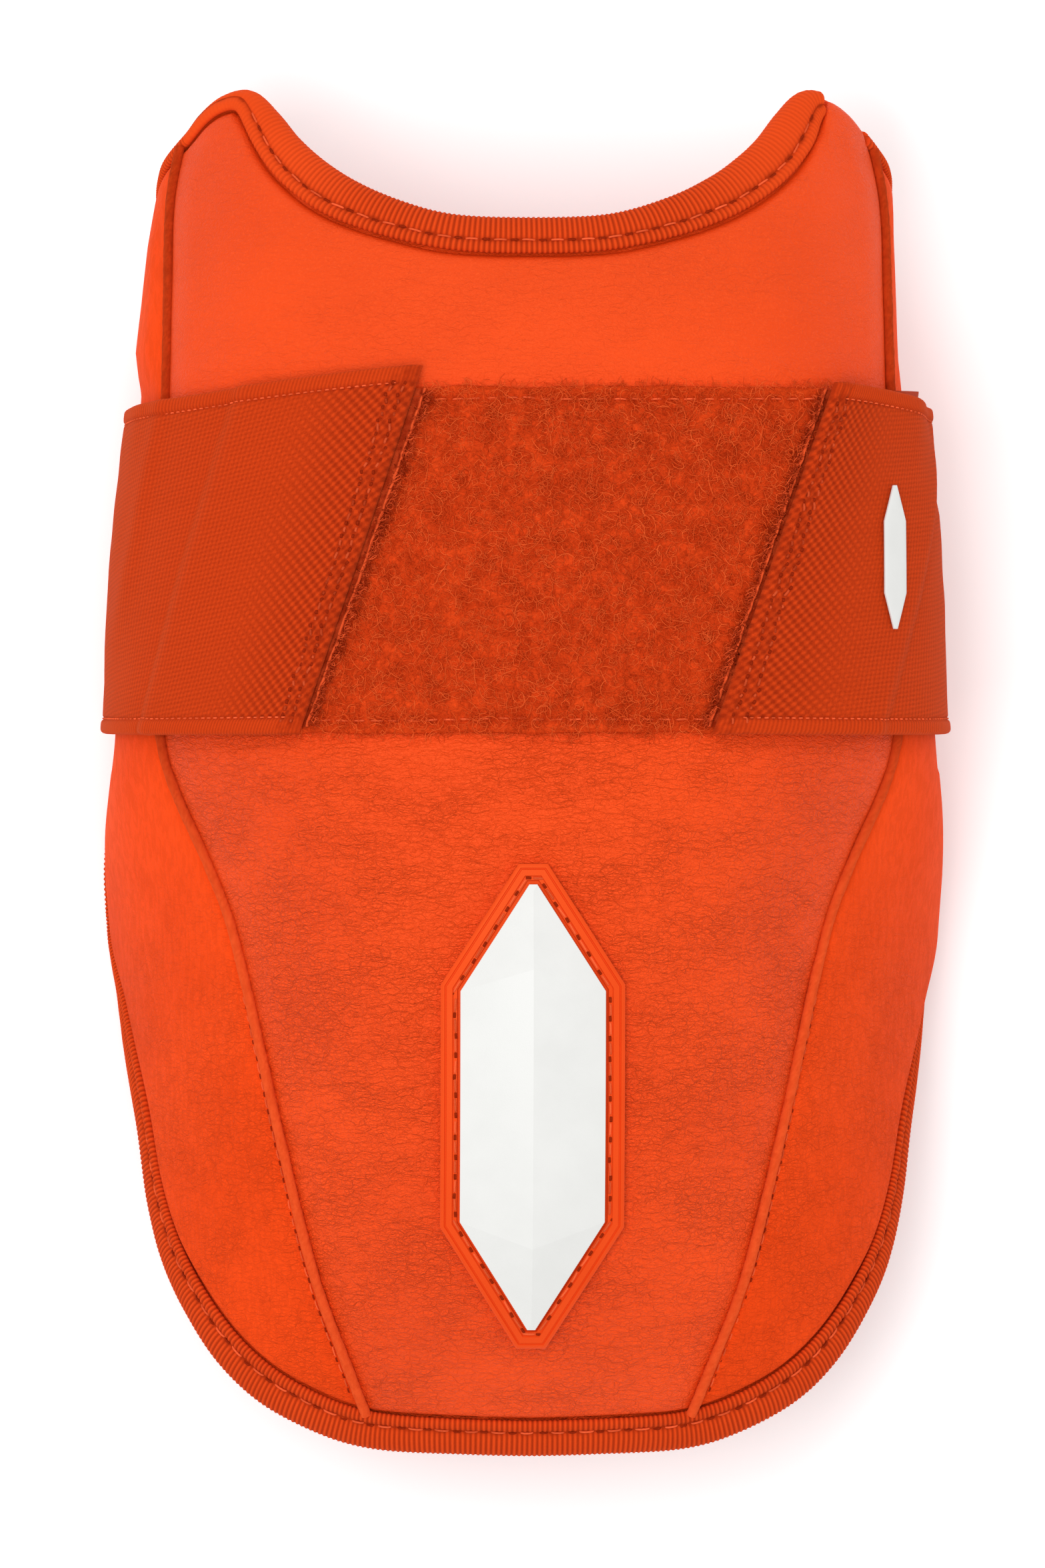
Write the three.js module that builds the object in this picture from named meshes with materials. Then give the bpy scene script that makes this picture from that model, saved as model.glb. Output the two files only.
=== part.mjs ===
// Baseball elbow guard: a padded leather shell that cups the elbow, closed behind the arm by one elastic strap.
// Millimetres. It lies on its back: +Z is up through the crown, +Y points to the upper-arm end, Z = 0 is the table.

import * as THREE from 'three';

// Overall sizes of the leather shell
const LENGTH = 234;
const WIDTH = 143.6;
const DEPTH = 84;
const SQUARENESS = 2.25; // 2 is an ellipse, more is a fuller shoulder

// Walls
const FRONT_PAD = 10;
const SIDE_PAD = 6;
const BOUND_EDGE = 4; // what is left of both pads inside the binding
const LAY_GAP = 0.35; // between two sheets that lie on each other
const SEAM_GAP = 0.4;

// Binding tape folded over the edge
const BINDING_COVER = 7.3;
const BINDING_THICK = 1.2;
const BINDING_CLEAR = 0.45;
const INSIDE_CLEAR = 0.63; // under the tape's inner face

// Piping in the two long seams
const PIPING_RADIUS = 0.9;
const PIPING_RISE = 0.1;

// Elastic strap, its loop field and its hook tabs
const STRAP_THICK = 2;
const STRAP_WIDTH = 55.5;
const STRAP_FOOT = 6.6; // Y of its lower edge
const STRAP_FLARE_LEFT = 7.2; // how much higher the free end reaches than the band behind
const STRAP_FLARE_RIGHT = 4.4;
const LEFT_END = -28.5; // X of the middle of each slanting end
const RIGHT_END = 40;
const END_SLANT = 20.4; // how far an end leans from its foot to its top
const STRAP_BEND = 11; // height where the band leaves the side for the table
const STRAP_LANDING = 9; // how far inside the edge it lies flat
const EDGE_CLEAR = 0.8; // between the band's flat run and the bound edge over it
const LOOP_THICK = 1.2;
const LOOP_WIDTH = 59;
const LOOP_FOOT = 6.8;
const LOOP_INSET = 4; // from the seam
const HOOK_THICK = 0.8;
const HOOK_DEEP = 25;
const HOOK_PEEK = 1.2;

// Badge on the forearm half and the small mark on the strap
const BADGE_HIGH = 82;
const BADGE_WIDE = 31;
const BADGE_MIDDLE = -56.5;
const BADGE_BORDER = 3;
const BADGE_THICK = 1.5;
const PLATE_THICK = 1.2;
const PLATE_RIDGE = 1.6;
const MARK_HIGH = 24;
const MARK_WIDE = 5;
const MARK_THICK = 0.5;
const MARK_CLEAR = 0.63;
const MARK_X = 58.5;

const HALF_LENGTH = LENGTH / 2;
const HALF_WIDTH = WIDTH / 2;
const TUCK = BINDING_THICK + BINDING_CLEAR; // how far a bound pad sinks to make room for the tape
const EDGE_DEEP = TUCK + BOUND_EDGE;
const STRAP_ROOM = STRAP_THICK + EDGE_CLEAR;
const LOOP_TOP = LAY_GAP + LOOP_THICK;
const HOOK_FOOT = LOOP_TOP + LAY_GAP;
const HOOK_TOP = HOOK_FOOT + HOOK_THICK;

// Cross sections. along: share of the half length; wide: share of the half width;
// level: share of the depth at which the section is widest
const sections = [
  { along: -1.00, wide: 0.965, level: 0 },
  { along: -0.44, wide: 0.967, level: 0 },
  { along: -0.34, wide: 0.970, level: 0 },
  { along: -0.24, wide: 0.990, level: 0 },
  { along: -0.10, wide: 1.000, level: 0.16 },
  { along: 0.05, wide: 0.981, level: 0.40 },
  { along: 0.31, wide: 0.962, level: 0.45 },
  { along: 0.56, wide: 0.930, level: 0.44 },
  { along: 0.78, wide: 0.894, level: 0.41 },
  { along: 1.00, wide: 0.845, level: 0.36 },
];
const CROWN_AT = -0.08; // where the crown is highest, share of the half length
const FOOT_DROP = 0.34; // how far the crown has come down at each end, share of the depth
const FOOT_CURVE = 3.2;
const HEAD_DROP = 0.28;
const HEAD_CURVE = 3;
const UNDERTURN = 0.83; // depth of the lower half ellipse, share of the depth

// Right half of the edge, from the middle of the neckline round to the middle of the foot.
// along: share of the half length; out: share of the half width; below the widest level the place is given by
// up instead: share of the depth above the resting line; strap: 1 where the strap runs under the edge
const edgeKnots = [
  { along: 0.806, out: 0 },
  { along: 0.812, out: 0.20 },
  { along: 0.832, out: 0.32 },
  { along: 0.856, out: 0.414 },
  { along: 0.888, out: 0.500 },
  { along: 0.928, out: 0.576 },
  { along: 0.970, out: 0.634 },
  { along: 0.995, out: 0.682 },
  { along: 0.989, out: 0.732, name: 'binding end' },
  { along: 0.966, out: 0.783 },
  { along: 0.936, out: 0.821, name: 'seam head' },
  { along: 0.886, up: 0.36, strap: 1 },
  { along: 0.838, up: 0.23, strap: 1 },
  { along: 0.770, up: 0.115, strap: 1 },
  { along: 0.680, up: 0.035, strap: 1 },
  { along: 0.570, up: 0, strap: 1 },
  { along: 0.310, up: 0, strap: 1 },
  { along: 0.070, up: 0, strap: 1 },
  { along: 0.020, up: 0, strap: 0.9 },
  { along: -0.050, up: 0, strap: 0.3 },
  { along: -0.120, up: 0, strap: 0 },
  { along: -0.235, up: 0, strap: 0 },
  { along: -0.290, up: 0.036, strap: 0 },
  { along: -0.345, up: 0.100, strap: 0 },
  { along: -0.430, up: 0.212, strap: 0 },
  { along: -0.520, out: 0.931 },
  { along: -0.620, out: 0.911 },
  { along: -0.712, out: 0.877 },
  { along: -0.794, out: 0.817 },
  { along: -0.864, out: 0.741 },
  { along: -0.920, out: 0.644 },
  { along: -0.959, out: 0.530 },
  { along: -0.981, out: 0.436 },
  { along: -0.991, out: 0.352, name: 'seam foot' },
  { along: -0.997, out: 0.180 },
  { along: -1.000, out: 0 },
];

// The long seam between the front pad and a side pad, between its two ends on the edge
const seamKnots = [
  { along: 0.840, out: 0.850 },
  { along: 0.700, out: 0.858 },
  { along: 0.560, out: 0.864 },
  { along: 0.310, out: 0.880 },
  { along: 0.110, out: 0.887 },
  { along: 0.020, out: 0.868 },
  { along: -0.040, out: 0.834 },
  { along: -0.130, out: 0.768 },
  { along: -0.220, out: 0.712 },
  { along: -0.370, out: 0.654 },
  { along: -0.550, out: 0.589 },
  { along: -0.740, out: 0.511 },
  { along: -0.865, out: 0.435 },
  { along: -0.935, out: 0.390 },
];

const lerp = THREE.MathUtils.lerp;
const clamp = THREE.MathUtils.clamp;
const smooth = (value, from, to) => {
  const share = clamp((value - from) / (to - from), 0, 1);
  return share * share * (3 - 2 * share);
};

// A column of a table as a smooth function that never overshoots its rows
function column(rows, key) {
  const slope = rows.slice(1).map((row, i) => (row[key] - rows[i][key]) / (row.along - rows[i].along));
  const tangent = rows.map((row, i) => {
    const before = slope[Math.max(i - 1, 0)];
    const after = slope[Math.min(i, slope.length - 1)];
    return before * after <= 0 ? 0 : (2 * before * after) / (before + after);
  });
  return (along) => {
    const last = rows.length - 2;
    let i = rows.findIndex((row, k) => k > last || rows[k + 1].along >= along);
    i = clamp(i, 0, last);
    const span = rows[i + 1].along - rows[i].along;
    const t = clamp((along - rows[i].along) / span, 0, 1);
    const t2 = t * t;
    const t3 = t2 * t;
    return (2 * t3 - 3 * t2 + 1) * rows[i][key] + (t3 - 2 * t2 + t) * span * tangent[i]
      + (3 * t2 - 2 * t3) * rows[i + 1][key] + (t3 - t2) * span * tangent[i + 1];
  };
}

const wideAt = column(sections, 'wide');
const levelAt = column(sections, 'level');

function crownAt(along) {
  const down = along < CROWN_AT
    ? FOOT_DROP * ((CROWN_AT - along) / (CROWN_AT + 1)) ** FOOT_CURVE
    : HEAD_DROP * ((along - CROWN_AT) / (1 - CROWN_AT)) ** HEAD_CURVE;
  return DEPTH * (1 - down);
}

// One cross section of the outer skin: its sizes and its arc length from the crown outwards
const UPPER_STEPS = 64;
const LOWER_STEPS = 28;
const LOWER_TURN = 75; // degrees below the widest level that the table covers
const sectionCache = new Map();

function sectionAt(y) {
  const key = Math.round(y * 1000);
  if (sectionCache.has(key)) return sectionCache.get(key);
  const along = clamp(y / HALF_LENGTH, -1.1, 1.1);
  const made = {
    half: HALF_WIDTH * wideAt(along),
    level: TUCK + DEPTH * levelAt(along),
    crown: crownAt(along),
    under: DEPTH * UNDERTURN,
    x: [],
    z: [],
    arc: [],
  };
  for (let i = 0; i <= UPPER_STEPS; i += 1) {
    const turn = (Math.PI / 2) * (i / UPPER_STEPS);
    made.x.push(made.half * Math.sin(turn) ** (2 / SQUARENESS));
    made.z.push(made.level + (made.crown - made.level) * Math.max(Math.cos(turn), 0) ** (2 / SQUARENESS));
  }
  for (let i = 1; i <= LOWER_STEPS; i += 1) {
    const turn = THREE.MathUtils.degToRad((LOWER_TURN * i) / LOWER_STEPS);
    made.x.push(made.half * Math.cos(turn));
    made.z.push(made.level - made.under * Math.sin(turn));
  }
  made.arc.push(0);
  for (let i = 1; i < made.x.length; i += 1) {
    made.arc.push(made.arc[i - 1] + Math.hypot(made.x[i] - made.x[i - 1], made.z[i] - made.z[i - 1]));
  }
  sectionCache.set(key, made);
  return made;
}

function lookUp(from, to, value) {
  let low = 0;
  let high = from.length - 1;
  const rising = from[high] > from[low];
  while (high - low > 1) {
    const middle = (low + high) >> 1;
    if ((from[middle] <= value) === rising) low = middle;
    else high = middle;
  }
  return lerp(to[low], to[high], (value - from[low]) / (from[high] - from[low]));
}

// The skin as a map from (arc s across, y along) to a point in space
function skin(s, y) {
  const section = sectionAt(y);
  const side = s < 0 ? -1 : 1;
  const x = lookUp(section.arc, section.x, Math.abs(s));
  return new THREE.Vector3(side * x, y, lookUp(section.arc, section.z, Math.abs(s)));
}

const PROBE = 0.4;
function slopes(s, y) {
  const across = skin(s + PROBE, y).sub(skin(s - PROBE, y)).divideScalar(2 * PROBE);
  const along = skin(s, y + PROBE).sub(skin(s, y - PROBE)).divideScalar(2 * PROBE);
  return { across, along };
}

function outward(s, y) {
  const { across, along } = slopes(s, y);
  return across.cross(along).normalize();
}

const raised = (spot, offset) => skin(spot.s, spot.y).addScaledVector(outward(spot.s, spot.y), offset);

function arcAtX(x, y) {
  const section = sectionAt(y);
  const upper = section.x.slice(0, UPPER_STEPS + 1);
  return Math.sign(x) * lookUp(upper, section.arc.slice(0, UPPER_STEPS + 1), Math.min(Math.abs(x), section.half));
}

function arcAtHeight(z, y) {
  const section = sectionAt(y);
  return lookUp(section.z, section.arc, z);
}

const widestArc = (y) => sectionAt(y).arc[UPPER_STEPS];

// Walks over the skin from a spot, in a direction in space, for a distance
function walk(spot, direction, distance) {
  const steps = Math.max(1, Math.ceil(Math.abs(distance)));
  const here = { s: spot.s, y: spot.y };
  for (let i = 0; i < steps; i += 1) {
    const { across, along } = slopes(here.s, here.y);
    const a = across.dot(across);
    const b = across.dot(along);
    const c = along.dot(along);
    const p = across.dot(direction);
    const q = along.dot(direction);
    const scale = distance / steps / (a * c - b * b);
    const ds = (c * p - b * q) * scale;
    const dy = (a * q - b * p) * scale;
    const length = across.multiplyScalar(ds).addScaledVector(along, dy).length();
    here.s += (ds * Math.abs(distance)) / steps / length;
    here.y += (dy * Math.abs(distance)) / steps / length;
  }
  return here;
}

function edgeSpot(knot, side) {
  const y = knot.along * HALF_LENGTH;
  if (knot.out !== undefined) return { s: side * arcAtX(knot.out * HALF_WIDTH, y), y };
  const z = TUCK + knot.strap * STRAP_ROOM + knot.up * DEPTH;
  return { s: side * arcAtHeight(z, y), y };
}

// The whole edge as one closed curve on the skin, right half first
const leftKnots = edgeKnots.slice(1, -1).reverse();
const edgeSpots = [
  ...edgeKnots.map((knot) => edgeSpot(knot, 1)),
  ...leftKnots.map((knot) => edgeSpot(knot, -1)),
];
const edgeCurve = new THREE.CatmullRomCurve3(
  edgeSpots.map((spot) => new THREE.Vector3(spot.s, spot.y, 0)), true, 'centripetal');
const knotOf = (name, side) => {
  const index = edgeKnots.findIndex((knot) => knot.name === name);
  return side > 0 ? index : edgeSpots.length - index;
};

// Evenly spaced spots on a curve between two of its knots
const FINE = 24;
function stretch(curve, total, from, to, pieces, closed = true) {
  const fine = [];
  const count = Math.max(FINE, Math.round(Math.abs(to - from) * FINE));
  for (let i = 0; i <= count; i += 1) {
    const knot = lerp(from, to, i / count) / total;
    const point = curve.getPoint(closed ? ((knot % 1) + 1) % 1 : clamp(knot, 0, 1));
    fine.push({ s: point.x, y: point.y });
  }
  const length = [0];
  for (let i = 1; i < fine.length; i += 1) {
    length.push(length[i - 1] + Math.hypot(fine[i].s - fine[i - 1].s, fine[i].y - fine[i - 1].y));
  }
  const spots = [];
  for (let i = 0; i <= pieces; i += 1) {
    const at = (length.at(-1) * i) / pieces;
    spots.push({
      s: lookUp(length, fine.map((spot) => spot.s), at),
      y: lookUp(length, fine.map((spot) => spot.y), at),
    });
  }
  return spots;
}

// The edge never dips under the height where its tape meets the table
const restingArc = (y) => arcAtHeight(TUCK, y);
const alongEdge = (from, to, pieces) => stretch(edgeCurve, edgeSpots.length, from, to, pieces)
  .map((spot) => ({ s: clamp(spot.s, -restingArc(spot.y), restingArc(spot.y)), y: spot.y }));

function seamLine(side, pieces) {
  const head = edgeSpots[knotOf('seam head', side)];
  const foot = edgeSpots[knotOf('seam foot', side)];
  const between = seamKnots.map((knot) => {
    const y = knot.along * HALF_LENGTH;
    return { s: side * arcAtX(knot.out * HALF_WIDTH, y), y };
  });
  const spots = [head, ...between, foot];
  const curve = new THREE.CatmullRomCurve3(
    spots.map((spot) => new THREE.Vector3(spot.s, spot.y, 0)), false, 'centripetal');
  return stretch(curve, spots.length - 1, 0, spots.length - 1, pieces, false);
}

// How far a spot lies from a line on the skin
const asPoints = (spots) => spots.map((spot) => skin(spot.s, spot.y));
function distanceTo(points, spot) {
  const here = skin(spot.s, spot.y);
  let best = Infinity;
  for (let i = 1; i < points.length; i += 1) {
    const piece = new THREE.Line3(points[i - 1], points[i]);
    best = Math.min(best, piece.closestPointToPoint(here, true, new THREE.Vector3()).distanceToSquared(here));
  }
  return Math.sqrt(best);
}

const edgePoints = asPoints(alongEdge(0, edgeSpots.length, 360));
const seamPoints = { 1: asPoints(seamLine(1, 100)), [-1]: asPoints(seamLine(-1, 100)) };
const fromEdge = (spot) => distanceTo(edgePoints, spot);
const fromSeam = (spot) => distanceTo(seamPoints[spot.s < 0 ? -1 : 1], spot);

// A closed solid between two grids of points of the same size
function slab(outer, inner) {
  const rows = outer.length;
  const columns = outer[0].length;
  const points = [...outer.flat(), ...inner.flat()];
  const half = rows * columns;
  const triangles = [];
  const quad = (a, b, c, d) => triangles.push(a, b, c, a, c, d);
  const at = (r, c) => r * columns + c;
  for (let r = 0; r < rows - 1; r += 1) {
    for (let c = 0; c < columns - 1; c += 1) {
      quad(at(r, c), at(r, c + 1), at(r + 1, c + 1), at(r + 1, c));
      quad(half + at(r, c), half + at(r + 1, c), half + at(r + 1, c + 1), half + at(r, c + 1));
    }
  }
  for (let c = 0; c < columns - 1; c += 1) {
    quad(at(0, c + 1), at(0, c), half + at(0, c), half + at(0, c + 1));
    quad(at(rows - 1, c), at(rows - 1, c + 1), half + at(rows - 1, c + 1), half + at(rows - 1, c));
  }
  for (let r = 0; r < rows - 1; r += 1) {
    quad(at(r, 0), at(r + 1, 0), half + at(r + 1, 0), half + at(r, 0));
    quad(at(r + 1, columns - 1), at(r, columns - 1), half + at(r, columns - 1), half + at(r + 1, columns - 1));
  }
  return solid(points, triangles);
}

// A round cord along points, with flat ends
function cord(points, radius, sides) {
  const rings = points.map((point, i) => {
    const before = points[Math.max(i - 1, 0)].at;
    const after = points[Math.min(i + 1, points.length - 1)].at;
    const forward = after.clone().sub(before).normalize();
    const up = point.up.clone().addScaledVector(forward, -point.up.dot(forward)).normalize();
    const across = forward.cross(up);
    return Array.from({ length: sides }, (_, k) => {
      const turn = (2 * Math.PI * k) / sides;
      return point.at.clone().addScaledVector(up, radius * Math.cos(turn))
        .addScaledVector(across, radius * Math.sin(turn));
    });
  });
  const corners = rings.flat();
  const triangles = [];
  for (let r = 0; r < rings.length - 1; r += 1) {
    for (let k = 0; k < sides; k += 1) {
      const a = r * sides + k;
      const b = r * sides + ((k + 1) % sides);
      triangles.push(a, b, b + sides, a, b + sides, a + sides);
    }
  }
  const last = (rings.length - 1) * sides;
  for (let k = 1; k < sides - 1; k += 1) {
    triangles.push(0, k + 1, k, last, last + k, last + k + 1);
  }
  return solid(corners, triangles);
}

function solid(points, triangles) {
  const volume = triangles.reduce((sum, _, i) => {
    if (i % 3) return sum;
    const [a, b, c] = [points[triangles[i]], points[triangles[i + 1]], points[triangles[i + 2]]];
    return sum + a.clone().cross(b).dot(c);
  }, 0);
  const geometry = new THREE.BufferGeometry();
  geometry.setAttribute('position', new THREE.Float32BufferAttribute(points.flatMap((p) => [p.x, p.y, p.z]), 3));
  geometry.setIndex(volume > 0 ? triangles : triangles.slice().reverse());
  geometry.computeVertexNormals();
  return geometry;
}

// How high and how deep a pad's two faces lie from the skin
const LIP = 0.8; // the pad stands up within this distance past the tape
const CROWNED = 3.4;
const SIDE_CROWNED = 16; // room past the tape that a side pad needs to stand up fully
const THICKEN = 22;
const ROLL = 2.6;
const SEAM_SINK = 1.3;
const bandMarks = [0, BINDING_COVER + BINDING_CLEAR, BINDING_COVER + LIP + BINDING_CLEAR,
  BINDING_COVER + CROWNED + BINDING_CLEAR];

function padFaces(spot, pad, fullness) {
  const edge = fromEdge(spot);
  const seam = Math.min(fromSeam(spot), ROLL);
  const past = clamp((edge - bandMarks[1]) / (bandMarks[3] - bandMarks[1]), 0, 1);
  const rise = edge < bandMarks[1] + 0.05 ? 0 : (1 - (1 - past) ** 3) * fullness;
  const sink = Math.max(TUCK * (1 - rise), SEAM_SINK * (1 - seam / ROLL) ** 2);
  const inward = Math.min(smooth(edge, bandMarks[2], bandMarks[2] + THICKEN),
    smooth(fromSeam(spot), 0, THICKEN));
  return {
    top: raised(spot, -sink),
    bottom: raised(spot, -lerp(EDGE_DEEP, Math.max(pad, EDGE_DEEP), inward)),
  };
}

// The spot on a line between two spots that lies a given distance from the edge
function spotAtDistance(line, distance) {
  let low = 0;
  let high = 1;
  for (let i = 0; i < 16; i += 1) {
    const middle = (low + high) / 2;
    if (fromEdge(line(middle)) < distance) low = middle;
    else high = middle;
  }
  return high;
}

// The front pad: columns run from the neckline to the foot, between the two seams
const FRONT_COLUMNS = 26;
const FRONT_ROWS = 20;

function frontPad() {
  const top = alongEdge(knotOf('seam head', -1) - edgeSpots.length, knotOf('seam head', 1), FRONT_COLUMNS);
  const foot = alongEdge(knotOf('seam foot', -1), knotOf('seam foot', 1), FRONT_COLUMNS);
  const FINE_SEAM = 120;
  const left = seamLine(-1, FINE_SEAM);
  const right = seamLine(1, FINE_SEAM);
  const onSeam = (line, v, key) => lookUp(line.map((_, i) => i / FINE_SEAM), line.map((spot) => spot[key]), v);
  const blend = (u, v, key) => {
    const i = u * FRONT_COLUMNS;
    const across = (line) => lerp(line[Math.floor(i)][key], line[Math.min(Math.floor(i) + 1, FRONT_COLUMNS)][key],
      i - Math.floor(i));
    const sides = lerp(onSeam(left, v, key), onSeam(right, v, key), u);
    const ends = lerp(across(top), across(foot), v);
    const corners = lerp(lerp(top[0][key], top.at(-1)[key], u), lerp(foot[0][key], foot.at(-1)[key], u), v);
    return sides + ends - corners;
  };
  const outer = [];
  const inner = [];
  for (let i = 0; i <= FRONT_COLUMNS; i += 1) {
    const u = i / FRONT_COLUMNS;
    const inset = i === 0 ? SEAM_GAP / 2 : i === FRONT_COLUMNS ? -SEAM_GAP / 2 : 0;
    const line = (v) => ({ s: blend(u, v, 's') + inset, y: blend(u, v, 'y') });
    const head = bandMarks.map((mark) => (mark ? spotAtDistance(line, mark) : 0));
    const tail = bandMarks.map((mark) => (mark ? 1 - spotAtDistance((v) => line(1 - v), mark) : 1)).reverse();
    const middle = Array.from({ length: FRONT_ROWS - 1 }, (_, k) => lerp(head.at(-1), tail[0], (k + 1) / FRONT_ROWS));
    const faces = [...head, ...middle, ...tail].map((v) => padFaces(line(v), FRONT_PAD, 1));
    outer.push(faces.map((face) => face.top));
    inner.push(faces.map((face) => face.bottom));
  }
  return slab(outer, inner);
}

// A side pad: rows run from the edge to the seam, from the tip at the seam's head to the tip at its foot
const SIDE_ROWS = 44;
const SIDE_COLUMNS = 3;
const TIP = 0.012; // share of the seam that each tip is cut back

function sidePad(side) {
  const seam = seamLine(side, 400);
  const head = knotOf('seam head', side);
  const foot = knotOf('seam foot', side);
  const edge = alongEdge(head, foot, 400);
  const pick = (line, share) => line[Math.round(share * 400)];
  const outer = [];
  const inner = [];
  for (let r = 0; r <= SIDE_ROWS; r += 1) {
    const share = lerp(TIP, 1 - TIP, r / SIDE_ROWS);
    const from = pick(edge, share);
    const onSeam = pick(seam, share);
    const to = { s: onSeam.s + side * (SEAM_GAP / 2), y: onSeam.y };
    const line = (v) => ({ s: lerp(from.s, to.s, v), y: lerp(from.y, to.y, v) });
    const reach = fromEdge(to);
    const room = reach - bandMarks[3];
    const marks = room > LIP
      ? bandMarks.map((mark) => (mark ? spotAtDistance(line, mark) : 0))
      : bandMarks.map((mark) => (mark / bandMarks[3]) * 0.9);
    const rest = Array.from({ length: SIDE_COLUMNS }, (_, k) => lerp(marks[3], 1, (k + 1) / SIDE_COLUMNS));
    const fullness = smooth(room, LIP, SIDE_CROWNED);
    const faces = [...marks, ...rest].map((v) => padFaces(line(v), SIDE_PAD, fullness));
    outer.push(faces.map((face) => face.top));
    inner.push(faces.map((face) => face.bottom));
  }
  return slab(outer, inner);
}

const ROUNDING = 0.6;
// Binding tape: a channel folded round the pad's edge, with a face on the outside and one on the inside
function bindingTape(spots, side) {
  const outer = [];
  const inner = [];
  spots.forEach((spot, i) => {
    const before = spots[Math.max(i - 1, 0)];
    const after = spots[Math.min(i + 1, spots.length - 1)];
    const forward = skin(after.s, after.y).sub(skin(before.s, before.y)).normalize();
    const normal = outward(spot.s, spot.y);
    const inside = normal.clone().cross(forward).multiplyScalar(side).normalize();
    const at = skin(spot.s, spot.y);
    const beyond = (out, lift) => at.clone().addScaledVector(inside, -out).addScaledVector(normal, lift);
    const middle = walk(spot, inside, BINDING_COVER / 2);
    const lip = walk(spot, inside, BINDING_COVER);
    const deep = EDGE_DEEP + INSIDE_CLEAR;
    outer.push([
      raised(lip, 0), raised(middle, 0.1), beyond(TUCK * 0.45, -0.35), beyond(TUCK, -TUCK - ROUNDING),
      beyond(TUCK, -deep - BINDING_THICK / 2), raised(lip, -deep - BINDING_THICK),
    ]);
    const top = -TUCK + BINDING_CLEAR;
    inner.push([
      raised(lip, top), raised(middle, top), beyond(BINDING_CLEAR, top), beyond(BINDING_CLEAR, -TUCK - ROUNDING),
      beyond(BINDING_CLEAR, -deep), raised(lip, -deep),
    ]);
  });
  return slab(outer, inner);
}

const NECK_PIECES = 34;
const SIDE_PIECES = 40;
const BUTT = 0.07; // share of a knot step left between two tape ends

function neckBinding() {
  const from = knotOf('seam head', -1) - edgeSpots.length + BUTT;
  return bindingTape(alongEdge(from, knotOf('binding end', 1), NECK_PIECES), -1);
}

function edgeBinding() {
  const from = knotOf('seam head', 1) + BUTT;
  const to = knotOf('seam head', -1) - BUTT;
  return bindingTape(alongEdge(from, to, 2 * SIDE_PIECES), -1);
}

// Piping: from under one tape lip to the other, seated in the valley between two pads
const PIPING_PIECES = 34;
function piping(side) {
  const line = seamLine(side, 400).filter((spot) => fromEdge(spot) > BINDING_COVER + BINDING_CLEAR + PIPING_RADIUS);
  const spots = Array.from({ length: PIPING_PIECES + 1 },
    (_, i) => line[Math.round(((line.length - 1) * i) / PIPING_PIECES)]);
  return cord(spots.map((spot) => ({ at: raised(spot, PIPING_RISE), up: outward(spot.s, spot.y) })),
    PIPING_RADIUS, 6);
}

// A thin sheet on the skin from a grid of spots, between two heights
function layered(grid, low, high) {
  const lift = (height) => grid.map((row) => row.map((spot) => raised(spot, height)));
  return slab(lift(high), lift(low));
}

const LOOP_COLUMNS = 26;
const LOOP_ROWS = 5;

function loopField() {
  const seamX = (y, side) => {
    const line = seamLine(side, 60).sort((a, b) => a.y - b.y);
    return lookUp(line.map((spot) => spot.y), line.map((spot) => spot.s), y);
  };
  const grid = [];
  for (let r = 0; r <= LOOP_ROWS; r += 1) {
    const y = LOOP_FOOT + (LOOP_WIDTH * r) / LOOP_ROWS;
    const left = seamX(y, -1) + LOOP_INSET;
    const right = seamX(y, 1) - LOOP_INSET;
    grid.push(Array.from({ length: LOOP_COLUMNS + 1 }, (_, c) => ({ s: lerp(left, right, c / LOOP_COLUMNS), y })));
  }
  return layered(grid, LAY_GAP, LOOP_TOP);
}

// The strap. across: 0 at its foot edge, 1 at its top edge
const endX = (middle, across) => middle + (across - 0.5) * END_SLANT;
const flareOf = (side) => (side < 0 ? STRAP_FLARE_LEFT : STRAP_FLARE_RIGHT);
const STRAP_ROWS = 6;
const FRONT_STATIONS = 9;
const SIDE_STATIONS = 5;
const BEND_STATIONS = 5;
const BEND_PULL = 0.62; // how squarely the band turns under the edge
const BEND_DROP = 0.8;

// Height of the strap's underside over the skin: on its hook tab, then on the loop field, then on the side pad
const TAB_CLEAR = 4;
const TAB_RAMP = 6;
function strapUnderside(side, from, spot) {
  const tabEnd = side * from + HOOK_DEEP + TAB_CLEAR;
  const overTab = 1 - smooth(side * spot.s, tabEnd, tabEnd + TAB_RAMP);
  const seamArc = arcAtX(seamKnots[3].out * HALF_WIDTH, spot.y);
  const overLoop = 1 - smooth(side * spot.s, seamArc + 1, widestArc(spot.y));
  return Math.max(HOOK_TOP * overTab, LOOP_TOP * overLoop) + LAY_GAP;
}

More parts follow.
